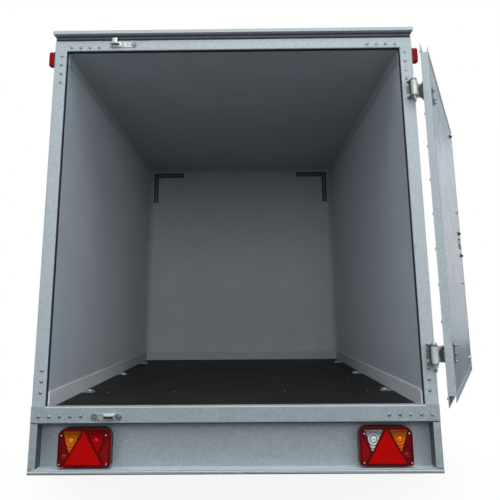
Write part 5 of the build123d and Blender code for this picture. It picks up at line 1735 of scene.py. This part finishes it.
@dataclass
class ChassisBolts:
    """Bolts of the side rails, the axle's plates, the drawbar arms and the suspension's end caps."""

    crossings: Pair = mm(20, 609.5)  # crossmember places, first and pitch, ahead of the rail's rear end
    rail_rise: Pair = mm(-24, -4)  # heights of the rail bolts
    beam: float = -2.4505  # y of the axle beam's middle
    plate: Triple = mm(775, 48, 4)  # bolts beside the middle and about the beam, and the plate's thickness
    arm: tuple = (mm(35, -380), mm(665, -2025.5), (0.18, 0.445, 0.745))  # an arm's start, run and bolt shares
    cap: tuple = ((31, -2), (31, 1.6), (25, 3.2), (9, 3.6))  # section of an end cap, in mm
    cap_out: float = 30 * MM  # caps outside the beam's end

    def build(self) -> None:
        """Heads face out on the rails and down under the plates and arms."""
        low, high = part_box("chassis_rails")
        (_, _, beam_low), (beam_out, _, _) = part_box("axle_beam")
        (first, pitch), (x, off, thick), (start, run, shares) = self.crossings, self.plate, self.arm
        rows = grid_of([high[0]], low[1] + first + pitch * np.arange(5), self.rail_rise)
        rails = hex_bolt(13, 6).turned_by(SIDEWAYS).repeated(rows).both_sides()
        down = hex_bolt(17, 9).turned_by(UPSIDE_DOWN)
        plates = down.repeated(grid_of([x], [self.beam - off, self.beam + off], [low[2] - thick]))
        spots = np.array(start) + np.array(shares)[:, None] * np.array(run)
        arms = down.repeated(np.c_[spots, np.full(len(shares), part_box("drawbar_arms")[0][2])])
        fit("chassis_bolts", join([rails, join([plates, arms]).both_sides()]))
        cap = lathe(np.array(self.cap) * MM, 32).turned_by(facing(1, 0, 0))
        spot = (beam_out + self.cap_out, self.beam, (beam_low + low[2] - thick) / 2)
        fit("suspension_caps", cap.moved(*spot).both_sides(), Slot.PLASTIC)


# ---------------------------------------------------------------- load space
@dataclass
class LoadSpaceFittings:
    """Screws of the floor, and rivets of the skirting, the corner strips and the lashing plates."""

    floor_x: tuple = mm(-620, -297, 229, 620)  # floor screws across the floor
    floor_y: tuple = (-3.275, 0.61, 4)  # y of the first row, pitch and number of rows
    skirt: Triple = (50 * MM, 100 * MM, 7)  # skirting rivets above the floor and from its ends, and how many
    corner: Pair = mm(2, 15)  # corner rivets from the side wall and from the front wall
    corner_z: Triple = (0.22, 1.42, 5)  # their lowest and highest place, and how many
    plates: tuple = (0.540, 1.360, 2.160)  # lashing plates ahead of the floor's rear edge
    plate_rivets: Triple = mm(10, 9, 3)  # about a plate's middle, inside its outer side, above the floor

    def build(self) -> None:
        """Screws in the floor, then those of the trims."""
        low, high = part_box("floor_panel")
        first, pitch, rows = self.floor_y
        places = grid_of(self.floor_x, first + pitch * np.arange(rows), [high[2]])
        # rubber on the screw bars is painted shade of their cross recesses
        fit("floor_screws", pan_screw(4.5).repeated(places), Slot.ZINC, "zinc_worn", "rubber")
        out, (wall, front), (off, inside, rise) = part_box("lashing_eyes")[1][0], self.corner, self.plate_rivets
        side = dome_rivet(3, 1.4).turned_by(facing(-1, 0, 0))
        above, end, count = self.skirt
        skirt = grid_of([out], np.linspace(low[1] + end, high[1] - end, count), [high[2] + above])
        corner = grid_of([high[0] - wall], [high[1] - front], np.linspace(*self.corner_z))
        plate_y = [low[1] + place + s * off for place in self.plates for s in (-1, 1)]
        flat = dome_rivet(3, 1.2).repeated(grid_of([out - inside], plate_y, [high[2] + rise]))
        trims = join([part.both_sides() for part in (side.repeated(skirt), side.repeated(corner), flat)])
        fit("trim_screws", trims, Slot.ZINC, "hinge_light")


# ---------------------------------------------------------------- stage
@dataclass
class Stage:
    """The floor, the light and the camera."""

    floor_z: float  # height the wheels stand on
    rear: Vector  # the middle of the rear opening's sill, which the camera is placed from
    behind: float = 2.611  # camera behind the rear frame
    aside: float = 0.058  # camera to the right of the middle
    above: float = 0.367  # camera above the sill
    pitch: float = 13.54  # upward tilt, degrees
    yaw: float = 0.59  # turn to the left, degrees
    roll: float = 0.44  # dip of the camera's right side, degrees
    lens: float = 44.76  # focal length over a 36 mm sensor, mm
    shift: Pair = (0.0188, -0.18)  # the view's shift as a share of its width
    half: float = 30  # half width of the floor
    # each lamp's name, place, aim, size in metres and power in watts
    lamps: tuple = (
        ("key", (0.4, -7.0, 4.6), (0.0, -3.8, 1.2), 2.8, 74),
        ("back", (0.2, -12.5, 3.2), (0, -1.3, 0.6), 3.0, 106),
        ("right", (3.2, -7.4, 1.7), (-0.7, -3.3, 0.2), 1.6, 40),
        ("left", (-3.2, -7.4, 1.7), (0.7, -3.1, 0.35), 1.6, 24),
        ("flank", (4.2, 2.2, 1.4), (1.1, -3.1, 0.9), 2.9, 12),
        ("top", (0.5, -2.0, 7.0), (0, -2.3, 0), 4.0, 160),
        ("front", (-3.5, 4.5, 4.0), (0, -1.6, 0.5), 3.5, 230),
    )

    def camera(self) -> None:
        """Sets the camera from its forward, right and up directions."""
        yaw, pitch, roll = (math.radians(a) for a in (self.yaw, self.pitch, self.roll))
        forward = Vector((-math.sin(yaw) * math.cos(pitch), math.cos(yaw) * math.cos(pitch), math.sin(pitch)))
        level = Vector((math.cos(yaw), math.sin(yaw), 0))
        up = level.cross(forward)
        right = math.cos(roll) * level - math.sin(roll) * up
        top = math.sin(roll) * level + math.cos(roll) * up
        data = bpy.data.cameras.new("camera")
        data.sensor_width, data.lens = 36, self.lens
        data.shift_x, data.shift_y = self.shift
        data.clip_start, data.clip_end = 0.05, 200
        camera = bpy.data.objects.new("camera", data)
        bpy.context.scene.collection.objects.link(camera)
        place = Matrix((right, top, -forward)).transposed().to_4x4()
        place.translation = self.rear + Vector((self.aside, -self.behind, self.above))
        camera.matrix_world = place
        bpy.context.scene.camera = camera

    def floor(self) -> None:
        """A pale floor that turns white to the camera away from the object, and passes on a quieter light."""
        material = bpy.data.materials.new("stage_floor")
        material.use_nodes = True
        material.node_tree.nodes.clear()
        g = Graph(material.node_tree)
        seen = g.seen()
        colour = g.mix(seen, (0.16, 0.165, 0.17), (0.97, 0.97, 0.97))
        shader = g.add("BsdfPrincipled", {"Base Color": colour, "Roughness": 0.9}).outputs[0]
        away = g.vector("DISTANCE", g.place(), (0.0, self.rear[1] / 2, self.floor_z))
        share = g.math("MULTIPLY", g.ramp(away, 1.0, 3.2, (0.90, 1)), seen)
        white = g.add("Emission", {"Color": (1, 1, 1, 1), "Strength": 1.0}).outputs[0]
        both = g.add("MixShader", {0: share, 1: shader, 2: white}).outputs[0]
        g.add("OutputMaterial", {0: both})
        shape = slab((-self.half, -self.half, self.floor_z - 0.05), (self.half, self.half, self.floor_z))
        shape.build("floor", material, smooth=None)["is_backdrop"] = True

    def light(self) -> None:
        """A soft sky, white where the camera sees it, and large lamps."""
        world = bpy.data.worlds.new("studio")
        bpy.context.scene.world = world
        world.use_nodes = True
        world.node_tree.nodes.clear()
        g = Graph(world.node_tree)
        rise = g.parts(g.add("TexCoord").outputs["Generated"])[2]
        sky = g.mix(g.ramp(rise, 0.0, 0.85), (0.22, 0.24, 0.26), (0.80, 0.89, 0.97))
        lights = (g.add("Background", {"Color": colour, "Strength": 1.0}) for colour in (sky, (1, 1, 1, 1)))
        soft, white = (light.outputs[0] for light in lights)
        g.add("OutputWorld", {0: g.add("MixShader", {0: g.seen(), 1: soft, 2: white}).outputs[0]})
        for name, at, to, size, power in self.lamps:
            data = bpy.data.lights.new(name, "AREA")
            data.size, data.energy = size, power
            lamp = bpy.data.objects.new(name, data)
            bpy.context.scene.collection.objects.link(lamp)
            lamp.location = at
            lamp.rotation_euler = (Vector(to) - Vector(at)).to_track_quat("-Z", "Y").to_euler()

    def build(self) -> None:
        """Sets the stage up."""
        self.camera()
        self.floor()
        self.light()
        bpy.context.scene.view_settings.view_transform = "Standard"


def sub_assemblies(frame: dict) -> list:
    """The groups of pieces in the order they are built.


    Returns:
        Objects that each have a build method.
    """
    door = DoorFrame.of(frame)
    shell = [FrameRivets(), RoofBand(), EdgeStrips(), MarkerLamps(), TailLamps(), Keepers()]
    doors = [Hinges(door), LockFittings(door), DoorRivets(door)]
    running = [RoadWheels(), MudguardTrim(), SideAndFrontLamps(), DrawbarFittings(), JockeyRoller()]
    return [*shell, *doors, *running, ChassisBolts(), LoadSpaceFittings()]


def main() -> None:
    """Loads the frame, dresses it, adds the small pieces and sets the stage."""
    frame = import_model()
    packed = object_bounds()
    for finish, nodes in DRESS.items():
        for node in nodes:
            data = frame["nodes"][node].data
            data.materials.clear()
            data.materials.append(look(finish))
    for part in sub_assemblies(frame):
        part.build()
    rear = Vector((0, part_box("rear_frame")[0][1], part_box("rear_sill")[1][2]))
    Stage(floor_z=packed[0][2], rear=rear).build()


if __name__ == "__main__":
    logging.basicConfig(level=logging.INFO)
    main()
